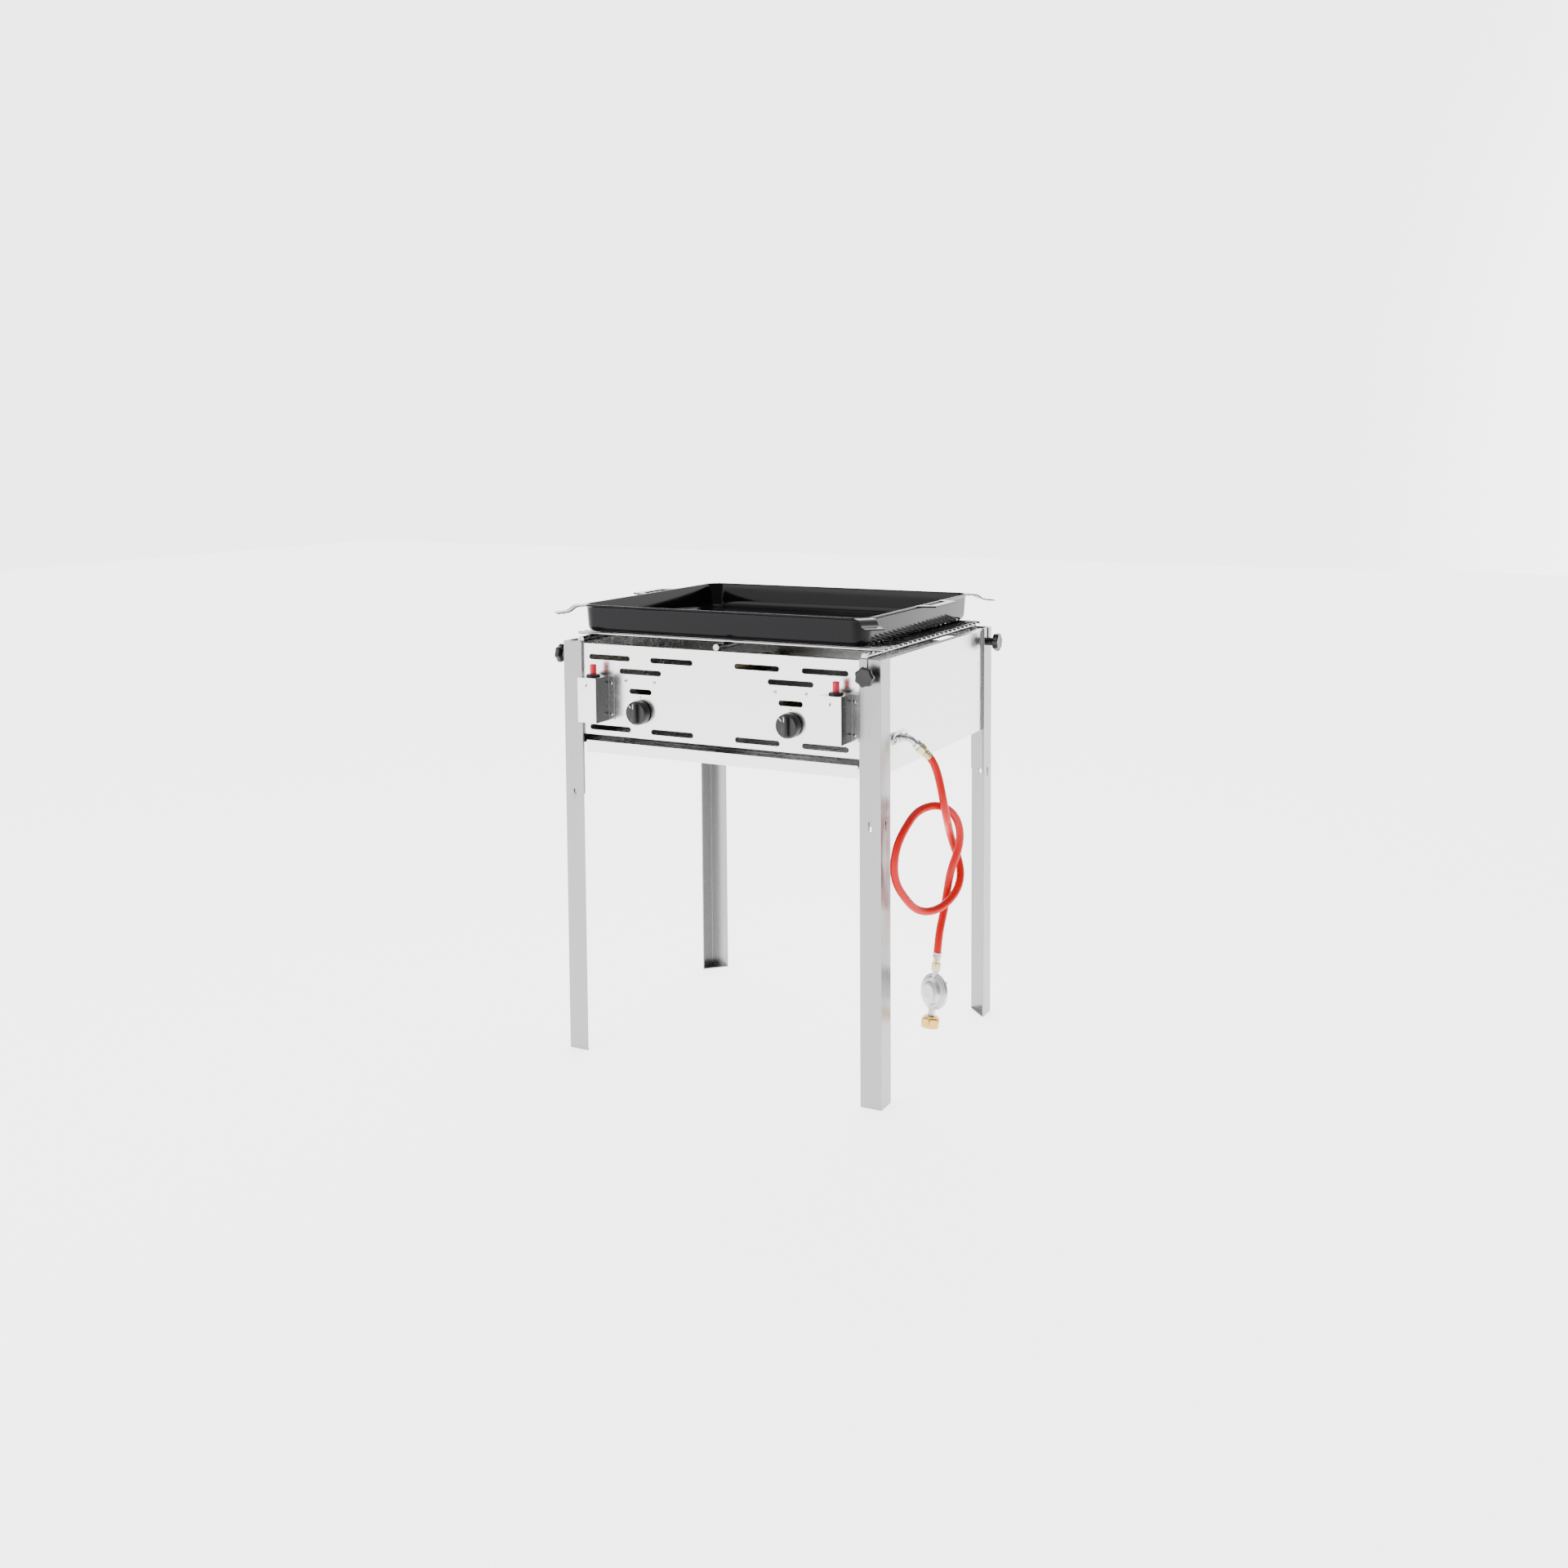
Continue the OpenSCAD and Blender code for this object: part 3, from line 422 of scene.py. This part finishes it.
def plate(name, outline, thick, edge=0.5, where=None):
    """A flat plate with softly rounded edges, drawn in XY and raised along Z."""
    bm = bmesh.new()
    face = bm.faces.new([bm.verts.new((x, y, 0)) for x, y in outline])
    raised = bmesh.ops.extrude_face_region(bm, geom=[face])["geom"]
    bmesh.ops.translate(bm, verts=[g for g in raised if isinstance(g, bmesh.types.BMVert)], vec=(0, 0, thick))
    if edge:
        sharp = [e for e in bm.edges if len(e.link_faces) == 2 and e.calc_face_angle(0) > math.radians(40)]
        bmesh.ops.bevel(bm, geom=sharp, offset=edge, segments=2, profile=0.5, affect="EDGES")
    mesh = finished(bm, name)
    if where is not None:
        mesh.transform(where)
    return mesh


def joined(name, meshes):
    bm = bmesh.new()
    for mesh in meshes:
        bm.from_mesh(mesh)
        bpy.data.meshes.remove(mesh)
    mesh = bpy.data.meshes.new(name)
    bm.to_mesh(mesh)
    bm.free()
    return mesh


def placed(mesh, where):
    mesh.transform(where)
    return mesh


# ---------------------------------------------------------------- the places of things, from the CAD model

BURNER_X = (-159.0, 151.0)
BOX_X = (-247.5, 249.5)
SIDES = ("left", "right")
PANEL_FRONT_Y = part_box("front_panel")[0].y / MM
PANEL_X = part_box("right_side_panel")[1].x / MM
KNOB_Z = 658.6
PAN_LOW, PAN_HIGH = (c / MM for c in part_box("pan"))
INLET_Y, INLET_Z = -174.0, 637.0
ON_PANEL = moved(PANEL_X, INLET_Y, INLET_Z)
INLET = ON_PANEL @ turned("X", 30)
BEND_R = 15.0
BEND_TURN = 55.0
INLET_STRAIGHT = 12.0
BEND_LEAD = BEND_R * math.tan(math.radians(BEND_TURN / 2))
FITTING = INLET @ moved(INLET_STRAIGHT + BEND_LEAD, 0, 0) @ turned("Y", BEND_TURN) @ turned("Y", 90)
REGULATOR = moved(378, -140, 250) @ turned("Z", 72) @ turned("Y", 9)
DISC = REGULATOR @ moved(0, 0, -68) @ turned("Z", 173) @ turned("Y", 90)

# ---------------------------------------------------------------- the hose

HOSE_D = 14.0
HOSE_ROUTE = [
    (364, -157, 608), (374, -150, 594), (382, -144, 566), (392, -148, 524), (392, -130, 486),
    (380, -94, 466), (380, -74, 432), (394, -70, 396), (402, -88, 364), (392, -116, 338),
    (376, -152, 326), (358, -186, 334), (352, -216, 360), (340, -238, 392), (340, -248, 430),
    (344, -238, 468), (354, -212, 498), (354, -174, 510), (372, -138, 516), (390, -108, 502),
    (400, -88, 472), (400, -86, 432), (388, -100, 396), (378, -92, 358), (378, -106, 320),
    (378, -132, 288), (378, -140, 252), (377, -142, 242),
]


def spline(route, steps):
    """A uniform cubic B-spline that starts and ends on the route's own ends."""
    p = [Vector(q) for q in route]
    p = [2 * p[0] - p[1]] + p + [2 * p[-1] - p[-2]]
    out = []
    for i in range(len(p) - 3):
        for k in range(steps):
            t = k / steps
            out.append(((1 - t) ** 3 * p[i] + (3 * t ** 3 - 6 * t * t + 4) * p[i + 1]
                        + (-3 * t ** 3 + 3 * t * t + 3 * t + 1) * p[i + 2] + t ** 3 * p[i + 3]) / 6)
    return out + [p[-2]]


def make_hose():
    line = spline(HOSE_ROUTE, 10)
    length = sum((b - a).length for a, b in zip(line, line[1:])) * MM
    mesh = skin("gas_hose_rubber", tube_loops(line, HOSE_D / 2, 28))
    made = piece("gas_hose_rubber", mesh, HERE, "body", "hose_red", replaces=["gas_hose"])
    return made, [p * MM for p in line], length


hose, hose_line, hose_length = make_hose()


def make_connector():
    """Pale brass hexagon and a crimped ferrule at the hose's upper end."""
    crimps = [(7.2, 37), (8, 37.4), (8, 40), (7.5, 40.6), (7.5, 41.4), (8, 42), (8, 44.6), (7.5, 45.2),
              (7.5, 46), (8, 46.6), (8, 49.6), (7.1, 50)]
    shank = lathe([(6.5, 33), (6.5, 37.5)])
    mesh = skin("hose_connector_brass", nut_loops(17, 22, 34), shank, lathe(crimps, 0.3))
    return piece("hose_connector_brass", mesh, FITTING, "body", "brass_pale", replaces=["hose_connector"])


def make_lower_fittings():
    ferrule = [(6.0, -10), (7.2, -7.5), (8, -6), (8, -4.6), (7.5, -4.1), (7.5, -3.3), (8, -2.8), (8, 0.6),
               (7.1, 1)]
    end = piece("hose_end_ferrule_crimped", skin("ferrule", lathe(ferrule, 0.3)), REGULATOR, "body", "zinc",
                replaces=["hose_end_ferrule"])
    nut = skin("nut", nut_loops(15, -31, -17), lathe([(6.4, -17.2), (6.4, -10)]))
    upper = piece("regulator_nut_brass", nut, REGULATOR, "body", "brass_pale", replaces=["regulator_nut"])
    return [end, upper]


def make_regulator():
    """Die-cast housing with a pressed seam, a domed cover and a plain round cap."""
    stem = lathe([(5.3, -48), (5.3, -34), (6.4, -33.5), (6.4, -31)])
    neck = lathe([(9.5, -116.8), (9.5, -113.6), (6.35, -113.5), (6.35, -100), (8.5, -96), (8.5, -86)], 0.8)
    wall = [(0, -17), (13, -17), (19, -14), (22.5, -8), (29, -5), (30.9, -4.6), (31.5, -3.6), (31.5, -2.2),
            (30.9, -1.6), (30.9, 0), (0, 0)]
    lug = [lathe([(0, -12), (2.6, -12), (2.6, -4), (0, -4)], 0.4, 24)]
    lugs = [placed(skin("lug", *lug), moved(25.5 * math.cos(a), 25.5 * math.sin(a), 0))
            for a in (math.pi / 4 + i * math.pi / 2 for i in range(4))]
    body = placed(skin("housing", lathe(wall, 0.8, 96)), DISC)
    for one in lugs:
        one.transform(DISC)
    pipe = placed(skin("stem", stem, neck), REGULATOR)
    mesh = joined("regulator_housing", [body, pipe] + lugs)
    housing = piece("regulator_housing", mesh, HERE, "body", "zinc", replaces=["regulator_body"])
    dome = [(0, 0.02), (30.9, 0.02), (31.5, 0.8), (31.5, 1.6), (30.8, 2.4), (29, 2.7), (27.4, 4.4), (24, 5.2),
            (20, 9), (17.5, 10.8), (14.6, 11.5), (0, 11.5)]
    mesh = skin("dome", lathe(dome, 0.9, 96))
    cover = piece("regulator_dome", mesh, DISC, "body", "zinc", replaces=["regulator_cover"])
    button = [(0, 11.55), (13, 11.55), (13, 13.2), (12.2, 14.3), (10.6, 14.45), (10.2, 14.1), (0, 14.1)]
    mesh = skin("cap", lathe(button, 0.4, 72))
    cap = piece("regulator_badge_cap", mesh, DISC, "body", "plastic_white", replaces=["regulator_cap"])
    return [housing, cover, cap]


def make_cylinder_nut():
    """Union nut with a turned collar above its flats and an open thread below."""
    bottom = -131
    top = -110
    flats = nut_loops(30, bottom, top - 4, bore=10.9, chamfer=2.2)
    collar = lathe([(6.4, top - 4.5), (12.5, top - 4.5), (12.5, top - 1), (11.5, top), (6.4, top)], 0.5)
    ridges = [circle(10.9 - 0.45 * (i % 2), bottom + 0.5 + i * 0.9, 96) for i in range(14)]
    bm = bmesh.new()
    stacked(bm, flats, closed=True)
    stacked(bm, collar)
    rings = [[bm.verts.new(p) for p in loop] for loop in ridges]
    for low, high in zip(rings, rings[1:]):
        for i in range(len(low)):
            j = (i + 1) % len(low)
            bm.faces.new((low[i], low[j], high[j], high[i]))
    mesh = finished(bm, "cylinder_nut_brass")
    return piece("cylinder_nut_brass", mesh, REGULATOR, "cylinder_nut", "brass", replaces=["cylinder_nut"],
                 smooth=30)


on_the_hose = [make_connector()] + make_lower_fittings() + make_regulator() + [make_cylinder_nut()]

# ---------------------------------------------------------------- the gas inlet


def make_inlet():
    """A bright bent pipe out of an oval flange, with its nut."""
    line = [Vector((0, 0, 0)), Vector((INLET_STRAIGHT, 0, 0))]
    for i in range(1, 13):
        a = math.radians(BEND_TURN * i / 12)
        line.append(Vector((INLET_STRAIGHT + BEND_R * math.sin(a), 0, -BEND_R + BEND_R * math.cos(a))))
    ahead = Vector((math.cos(math.radians(BEND_TURN)), 0, -math.sin(math.radians(BEND_TURN))))
    line.append(line[-1] + ahead * 6.5)
    pipe = placed(skin("pipe", tube_loops(line, 5.5, 32)), INLET)
    ends = []
    for side in (1, -1):
        for i in range(17):
            a = -math.pi / 2 + math.pi * i / 16 + (0 if side > 0 else math.pi)
            ends.append((side * 22 + 11 * math.cos(a), 11 * math.sin(a)))
    across = ON_PANEL @ turned("Z", 90) @ turned("X", 90)
    flange = plate("flange", ends, 3, 0.6, across)
    ring = [(5.5, 3), (8, 3), (8, 5), (7, 6.2), (5.6, 6.2)]
    collar = placed(skin("collar", lathe(ring, 0.6)), ON_PANEL @ turned("Y", 90))
    mesh = joined("inlet_pipe_bent", [pipe, flange, collar])
    piece("inlet_pipe_bent", mesh, HERE, "body", "chrome", replaces=["inlet_pipe"])
    piece("inlet_nut_chromed", skin("inlet_nut", nut_loops(15, 14, 22)), FITTING, "body", "chrome",
          replaces=["inlet_nut"])


make_inlet()

# ---------------------------------------------------------------- the pan

PAN_X = (PAN_LOW.x + PAN_HIGH.x) / 2
PAN_Y = (PAN_LOW.y + PAN_HIGH.y) / 2
PAN_Z0 = PAN_LOW.z
PAN_Z1 = PAN_HIGH.z
PAN_CORNER = 30.0
TONGUE_W = 34.0
RIM_OUT = 3.0
PAN_W = PAN_HIGH.x - PAN_LOW.x - 2 * RIM_OUT
PAN_D = PAN_HIGH.y - PAN_LOW.y - 2 * RIM_OUT


def pan_loop(inset, z):
    """A rectangle with round corners, inset from the pan's outer walls."""
    radius = max(PAN_CORNER - inset, 2.0)
    return round_rectangle(PAN_W / 2 - inset, PAN_D / 2 - inset, radius, z, 12, (PAN_X, PAN_Y))


def make_pan():
    """Pressed sheet: a flat floor, a round bottom edge, leaning walls and a rolled rim."""
    t = 2.0
    height = PAN_Z1 - PAN_Z0
    outer = [(16, 0), (15, 0), (11, 0.6), (7, 3), (4.2, 7), (3, 12), (0.6, height - 7), (0, height - 4.4),
             (-1.4, height - 3.6), (-2.6, height - 2.9), (-3, height - 1.5), (-2.4, height - 0.4),
             (-1.2, height)]
    inner = [(0.6, height - 0.1), (1.7, height - 0.9), (2.2, height - 2.2), (4.6, 16), (6, 9), (8.6, 5),
             (12, 2.7), (16, t), (17, t)]
    loops = [pan_loop(i, PAN_Z0 + z) for i, z in outer + inner]
    mesh = skin("pan_enamelled", loops)
    piece("pan_enamelled", mesh, HERE, "pan", "enamel_black", replaces=["pan"], smooth=50)


def make_tongues():
    """Strips that run out from the corners, step down and end flat."""
    half = TONGUE_W / 2
    thick = 2.2
    top = PAN_Z1 - 0.9
    path = rounded([(-1.0, 0), (20, 0), (33, -10.5), (57, -12.8)], 7.0, 6)
    corner = PAN_CORNER * (1 - math.cos(math.pi / 4)) - 1
    meshes = []
    for sx, sy in ((-1, -1), (1, -1), (-1, 1), (1, 1)):
        loops = []
        for i, at in enumerate(path):
            ahead = (path[min(i + 1, len(path) - 1)] - path[max(i - 1, 0)]).normalized()
            up = Vector((-ahead.y, ahead.x))
            ring = []
            for y, drop in ((-half, 0.5), (-half + 0.5, 0), (half - 0.5, 0), (half, 0.5), (half, thick - 0.5),
                            (half - 0.5, thick), (-half + 0.5, thick), (-half, thick - 0.5)):
                p = at - up * drop
                ring.append((p.x, y, p.y))
            loops.append(ring)
        where = (moved(PAN_X + sx * (PAN_W / 2 - corner), PAN_Y + sy * (PAN_D / 2 - corner), top)
                 @ turned("Z", math.degrees(math.atan2(sy, sx))))
        meshes.append(placed(skin("tongue", loops), where))
    mesh = joined("pan_tongues_enamelled", meshes)
    piece("pan_tongues_enamelled", mesh, HERE, "pan", "enamel_black", replaces=["pan_tongues"], smooth=30)


make_pan()
make_tongues()

# ---------------------------------------------------------------- star knobs


STAR_R = 18.0
STAR_Z = 755.5
STAR_HEAD = [
    (STAR_R - 5, 13, 0.6), (STAR_R - 2.2, 13.8, 1.8), (STAR_R - 0.7, 15, 2.1), (STAR_R, 16.8, 2.3),
    (STAR_R, 22, 2.3), (STAR_R - 0.5, 23.6, 2.2), (STAR_R - 1.8, 24.7, 2.0), (STAR_R - 3.6, 25, 1.7),
    (STAR_R - 7, 24.7, 0.7), (4, 24.5, 0),
]
LEFT_X, RIGHT_X, FRONT_Y, BACK_Y = -325.0, 325.0, -265.0, 275.0


def star_loop(radius, z, depth, lobes=7, sides=140):
    """One level of a star knob: round lobes and shallow hollows between them."""
    loop = []
    for i in range(sides):
        a = 2 * math.pi * i / sides
        wave = abs(math.sin(lobes * a / 2)) ** 1.4
        r = radius - depth * wave
        loop.append((r * math.cos(a), r * math.sin(a), z))
    return loop


def star_knob(corner, where):
    head = [star_loop(*one) for one in STAR_HEAD]
    stem = lathe([(7.75, 0.35), (7.75, 9), (8.6, 13.5), (11, 14.5)], 1.0)
    stud = lathe([(4, -16), (4, 1)], 0.3, 32)
    name = "star_knob_" + corner
    mesh = skin("star_knob", head, stem, stud)
    piece(name + "_moulded", mesh, where, name, "plastic_black", replaces=[name], smooth=55)


def make_star_knobs():
    """One knob on each leg: two on the sides and two on the front and back."""
    middle = {}
    for corner in ("front_left", "front_right", "back_left", "back_right"):
        low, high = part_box("star_knob_" + corner)
        middle[corner] = (low + high) / 2 / MM
    star_knob("front_left", moved(LEFT_X, middle["front_left"].y, STAR_Z) @ turned("Y", -90))
    star_knob("front_right", moved(middle["front_right"].x, FRONT_Y, STAR_Z) @ turned("X", 90))
    star_knob("back_left", moved(middle["back_left"].x, BACK_Y, STAR_Z) @ turned("X", -90))
    star_knob("back_right", moved(RIGHT_X, middle["back_right"].y, STAR_Z) @ turned("Y", 90))


make_star_knobs()

# ---------------------------------------------------------------- gas knobs, igniters and screws


KNOB_R = 22.5
KNOB_SEAT_Y = -264.0
GRIP_LEVELS = ((14.0, 6.6), (17.0, 6.2), (21.0, 5.7), (22.4, 4.9), (23.0, 3.8))


def grip_loop(z, half):
    """One level of the grip bar, which gets shorter outwards."""
    long = 19.6 - (z - 14) * 0.22
    return round_rectangle(half, long, min(half * 0.6, 3.2), z, 6)


def stripe(half_width, half_length, thick):
    corners = ((-half_width, -half_length), (half_width, -half_length), (half_width, half_length),
               (-half_width, half_length))
    return plate("stripe", corners, thick, 0)


def make_gas_knobs():
    """Round skirt with a raised grip bar, tapered towards its outer face, and a white pointer line."""
    r = KNOB_R
    for side, x in zip(SIDES, BURNER_X):
        where = moved(x, KNOB_SEAT_Y, KNOB_Z) @ turned("X", 90)
        skirt = lathe([(4.05, 0), (r, 0), (r, 3), (r - 0.8, 12.6), (r - 3, 15), (0, 15)], 1.0, 80)
        grip = [grip_loop(z, half) for z, half in GRIP_LEVELS]
        name = "gas_knob_" + side
        mesh = skin(name, skirt, grip)
        piece(name + "_moulded", mesh, where, name, "plastic_black_matt", replaces=[name], smooth=40)
        pointer = placed(stripe(0.7, 5, 0.15), turned("Z", 45) @ moved(0, 15.2, 15.02))
        piece(name + "_pointer", pointer, where, name, "plastic_white")
        line = placed(stripe(0.6, 4, 0.12), moved(0, 13.5, 23.0))
        piece(name + "_grip_line", line, where, name, "plastic_white")


BOX_TOP = 722.0
BUTTON_IN = 22.0
BOX_FACE_Y = PANEL_FRONT_Y - 44.02


def make_igniters():
    """A moulded collar and a red button on each box, and a plain spark on its face."""
    top = BOX_TOP
    ring = [(11, top - 12), (11, top + 0.1), (13, top + 0.1), (13, top + 2.4), (11.4, top + 4.4),
            (8.4, top + 5), (6.5, top + 5), (6.15, top + 3)]
    cap = [(6, 700), (6, top + 21.6), (5.2, top + 22.8), (3.6, top + 23), (0, top + 22.7)]
    bolt = [(-2.6, -0.4), (1.6, 5.6), (0.7, 0.9), (2.8, 0.9), (-1.6, -5.6), (-0.6, -0.4)]
    for side, x in zip(SIDES, BOX_X):
        where = moved(x, PANEL_FRONT_Y - BUTTON_IN, 0)
        collar = skin("collar", lathe(ring, 0.6))
        piece("igniter_collar_" + side, collar, where, "body", "plastic_black_matt",
              replaces=["igniter_body_" + side])
        name = "igniter_button_" + side
        piece(name + "_cap", skin("button", lathe(cap, 0.6, 48)), where, name, "plastic_red", replaces=[name])
        face = moved(x - 1, BOX_FACE_Y, 708) @ turned("X", 90) @ turned("Z", -12)
        spark = plate("spark", bolt, 0.12, 0, face)
        piece("igniter_mark_" + side, spark, HERE, "body", "plastic_black_matt", look="ink")


def screw_head(radius):
    """A pan head on its shaft, its seat at zero."""
    return skin("head", lathe([(2, -5), (2, 0), (radius, 0), (radius, 0.7), (radius * 0.8, 1.5), (0, 1.8)],
                              0.5, 40))


def make_screws():
    """The screws of the burners, the igniter boxes and the inlet, each with a dark cross painted on its head
    as the shade of its recess.
    """
    heads, crosses = [], []

    def put(where, radius):
        heads.append(placed(screw_head(radius), where))
        for turn in (20, 110):
            # A thin dark cross on the head: painted shade standing in for the recess
            crosses.append(placed(stripe(1.6, 0.3, 0.06), where @ moved(0, 0, 1.8) @ turned("Z", turn)))

    for x in BURNER_X:
        for s in (-1, 1):
            put(moved(x + s * 30.5, PANEL_FRONT_Y, 714.5) @ turned("X", 90), 3.2)
    for x in BOX_X:
        for z in (651, 709):
            put(moved(x + 25.5, PANEL_FRONT_Y - 1.2, z) @ turned("X", 90), 3.0)
    for s in (-1, 1):
        put(moved(PANEL_X + 3, INLET_Y + s * 25, INLET_Z) @ turned("Y", 90), 3.2)
    mesh = joined("panel_screw_heads", heads)
    piece("panel_screw_heads", mesh, HERE, "body", "chrome", replaces=["panel_screws"])
    # The crosses, painted near black as the shade in the recesses
    mesh = joined("panel_screw_recess_painted_shade", crosses)
    piece("panel_screw_recess_painted_shade", mesh, HERE, "body", "plastic_black_matt", look="recess_painted_shade")


def make_panel_marks():
    """The index dot above each gas knob."""
    dots = []
    for x in BURNER_X:
        dot = skin("dot", lathe([(0, 0), (1.5, 0), (1.5, 0.12), (0, 0.12)], 0.02, 24))
        dots.append(placed(dot, moved(x, PANEL_FRONT_Y - 0.02, 686) @ turned("X", 90)))
    mesh = joined("panel_index_dots", dots)
    piece("panel_index_dots", mesh, HERE, "body", "plastic_black_matt", look="ink")


make_gas_knobs()
make_igniters()
make_screws()
make_panel_marks()

# ---------------------------------------------------------------- floor and light


def make_floor():
    """Pale and glowing with painted light: bright round and behind the stand and in a strip to its front
    left, dimmer elsewhere.
    """
    bpy.ops.mesh.primitive_plane_add(size=24, location=(0, 0, 0))
    floor = bpy.context.object
    floor.name = "floor"
    pale = bpy.data.materials.new("floor")
    pale.use_nodes = True
    tree = pale.node_tree
    shader = tree.nodes["Principled BSDF"]
    shader.inputs["Base Color"].default_value = (0.92, 0.92, 0.92, 1)
    shader.inputs["Roughness"].default_value = 0.85
    shader.inputs["Specular IOR Level"].default_value = 0.1
    shader.inputs["Emission Color"].default_value = (1, 1, 1, 1)
    place = node(tree, "ShaderNodeNewGeometry", -1100, -400)
    way = node(tree, "ShaderNodeVectorMath", -900, -400, operation="NORMALIZE")
    reach = node(tree, "ShaderNodeVectorMath", -900, -600, operation="LENGTH")
    tree.links.new(place.outputs["Position"], way.inputs[0])
    tree.links.new(place.outputs["Position"], reach.inputs[0])
    behind = level(tree, along(tree, place.outputs["Position"], BEHIND, -300), -300, -2.6, -1.6)
    strip = level(tree, along(tree, way.outputs["Vector"], FRONT_LEFT, -500), -500, 0.86, 0.97)
    away = level(tree, reach.outputs["Value"], -700, 1.8, 3.0)
    lit = mathed(tree, "MAXIMUM", -400, behind, mathed(tree, "MULTIPLY", -600, strip, away))
    # The glow is painted light: the bright patches are put into the floor's own emission
    glow = mathed(tree, "MULTIPLY_ADD", -200, lit, 2.9, 0.3)
    tree.links.new(glow, shader.inputs["Emission Strength"])
    floor.data.materials.append(pale)


def make_sky():
    """Dim light all round, with bright patches behind, at the front left, at the back right and above."""
    world = bpy.data.worlds.new("studio")
    bpy.context.scene.world = world
    world.use_nodes = True
    tree = world.node_tree
    back = tree.nodes["Background"]
    back.inputs["Color"].default_value = (1, 1, 1, 1)
    place = node(tree, "ShaderNodeTexCoord", -1100, 0)
    total = None
    for i, (toward, low, high, start, end) in enumerate(SKY):
        lobe = level(tree, along(tree, place.outputs["Generated"], toward, -200 * i), -200 * i, low, high,
                     start=start, end=end)
        total = lobe if total is None else mathed(tree, "ADD", -200 * i, total, lobe)
    tree.links.new(total, back.inputs["Strength"])


def area_light(name, at, aim, size, power):
    data = bpy.data.lights.new(name, "AREA")
    data.shape = "RECTANGLE"
    data.size, data.size_y = size
    data.energy = power
    light = bpy.data.objects.new(name, data)
    light.location = at
    light.rotation_euler = (Vector(aim) - Vector(at)).to_track_quat("-Z", "Y").to_euler()
    bpy.context.scene.collection.objects.link(light)


BEHIND = (-0.46, 0.88, 0.0)
FRONT_LEFT = (-0.46, -0.88, -0.05)
# A patch's direction, the cosines where it begins and is full, and what it adds outside and inside
SKY = [
    (BEHIND, 0.5, 0.82, 0.45, 4.0),
    (FRONT_LEFT, 0.8, 0.97, 0.0, 3.2),
    ((0.46, 0.88, -0.05), 0.8, 0.97, 0.0, 2.8),
    ((-0.2, 0.1, 1.0), 0.5, 0.95, 0.0, 0.5),
]

make_floor()
make_sky()
area_light("key", (-1.6, -2.6, 2.6), (0, 0, 0.7), (1.8, 1.8), 35)
area_light("over", (0.2, 0.4, 3.0), (0, 0, 0.7), (2.4, 2.0), 25)
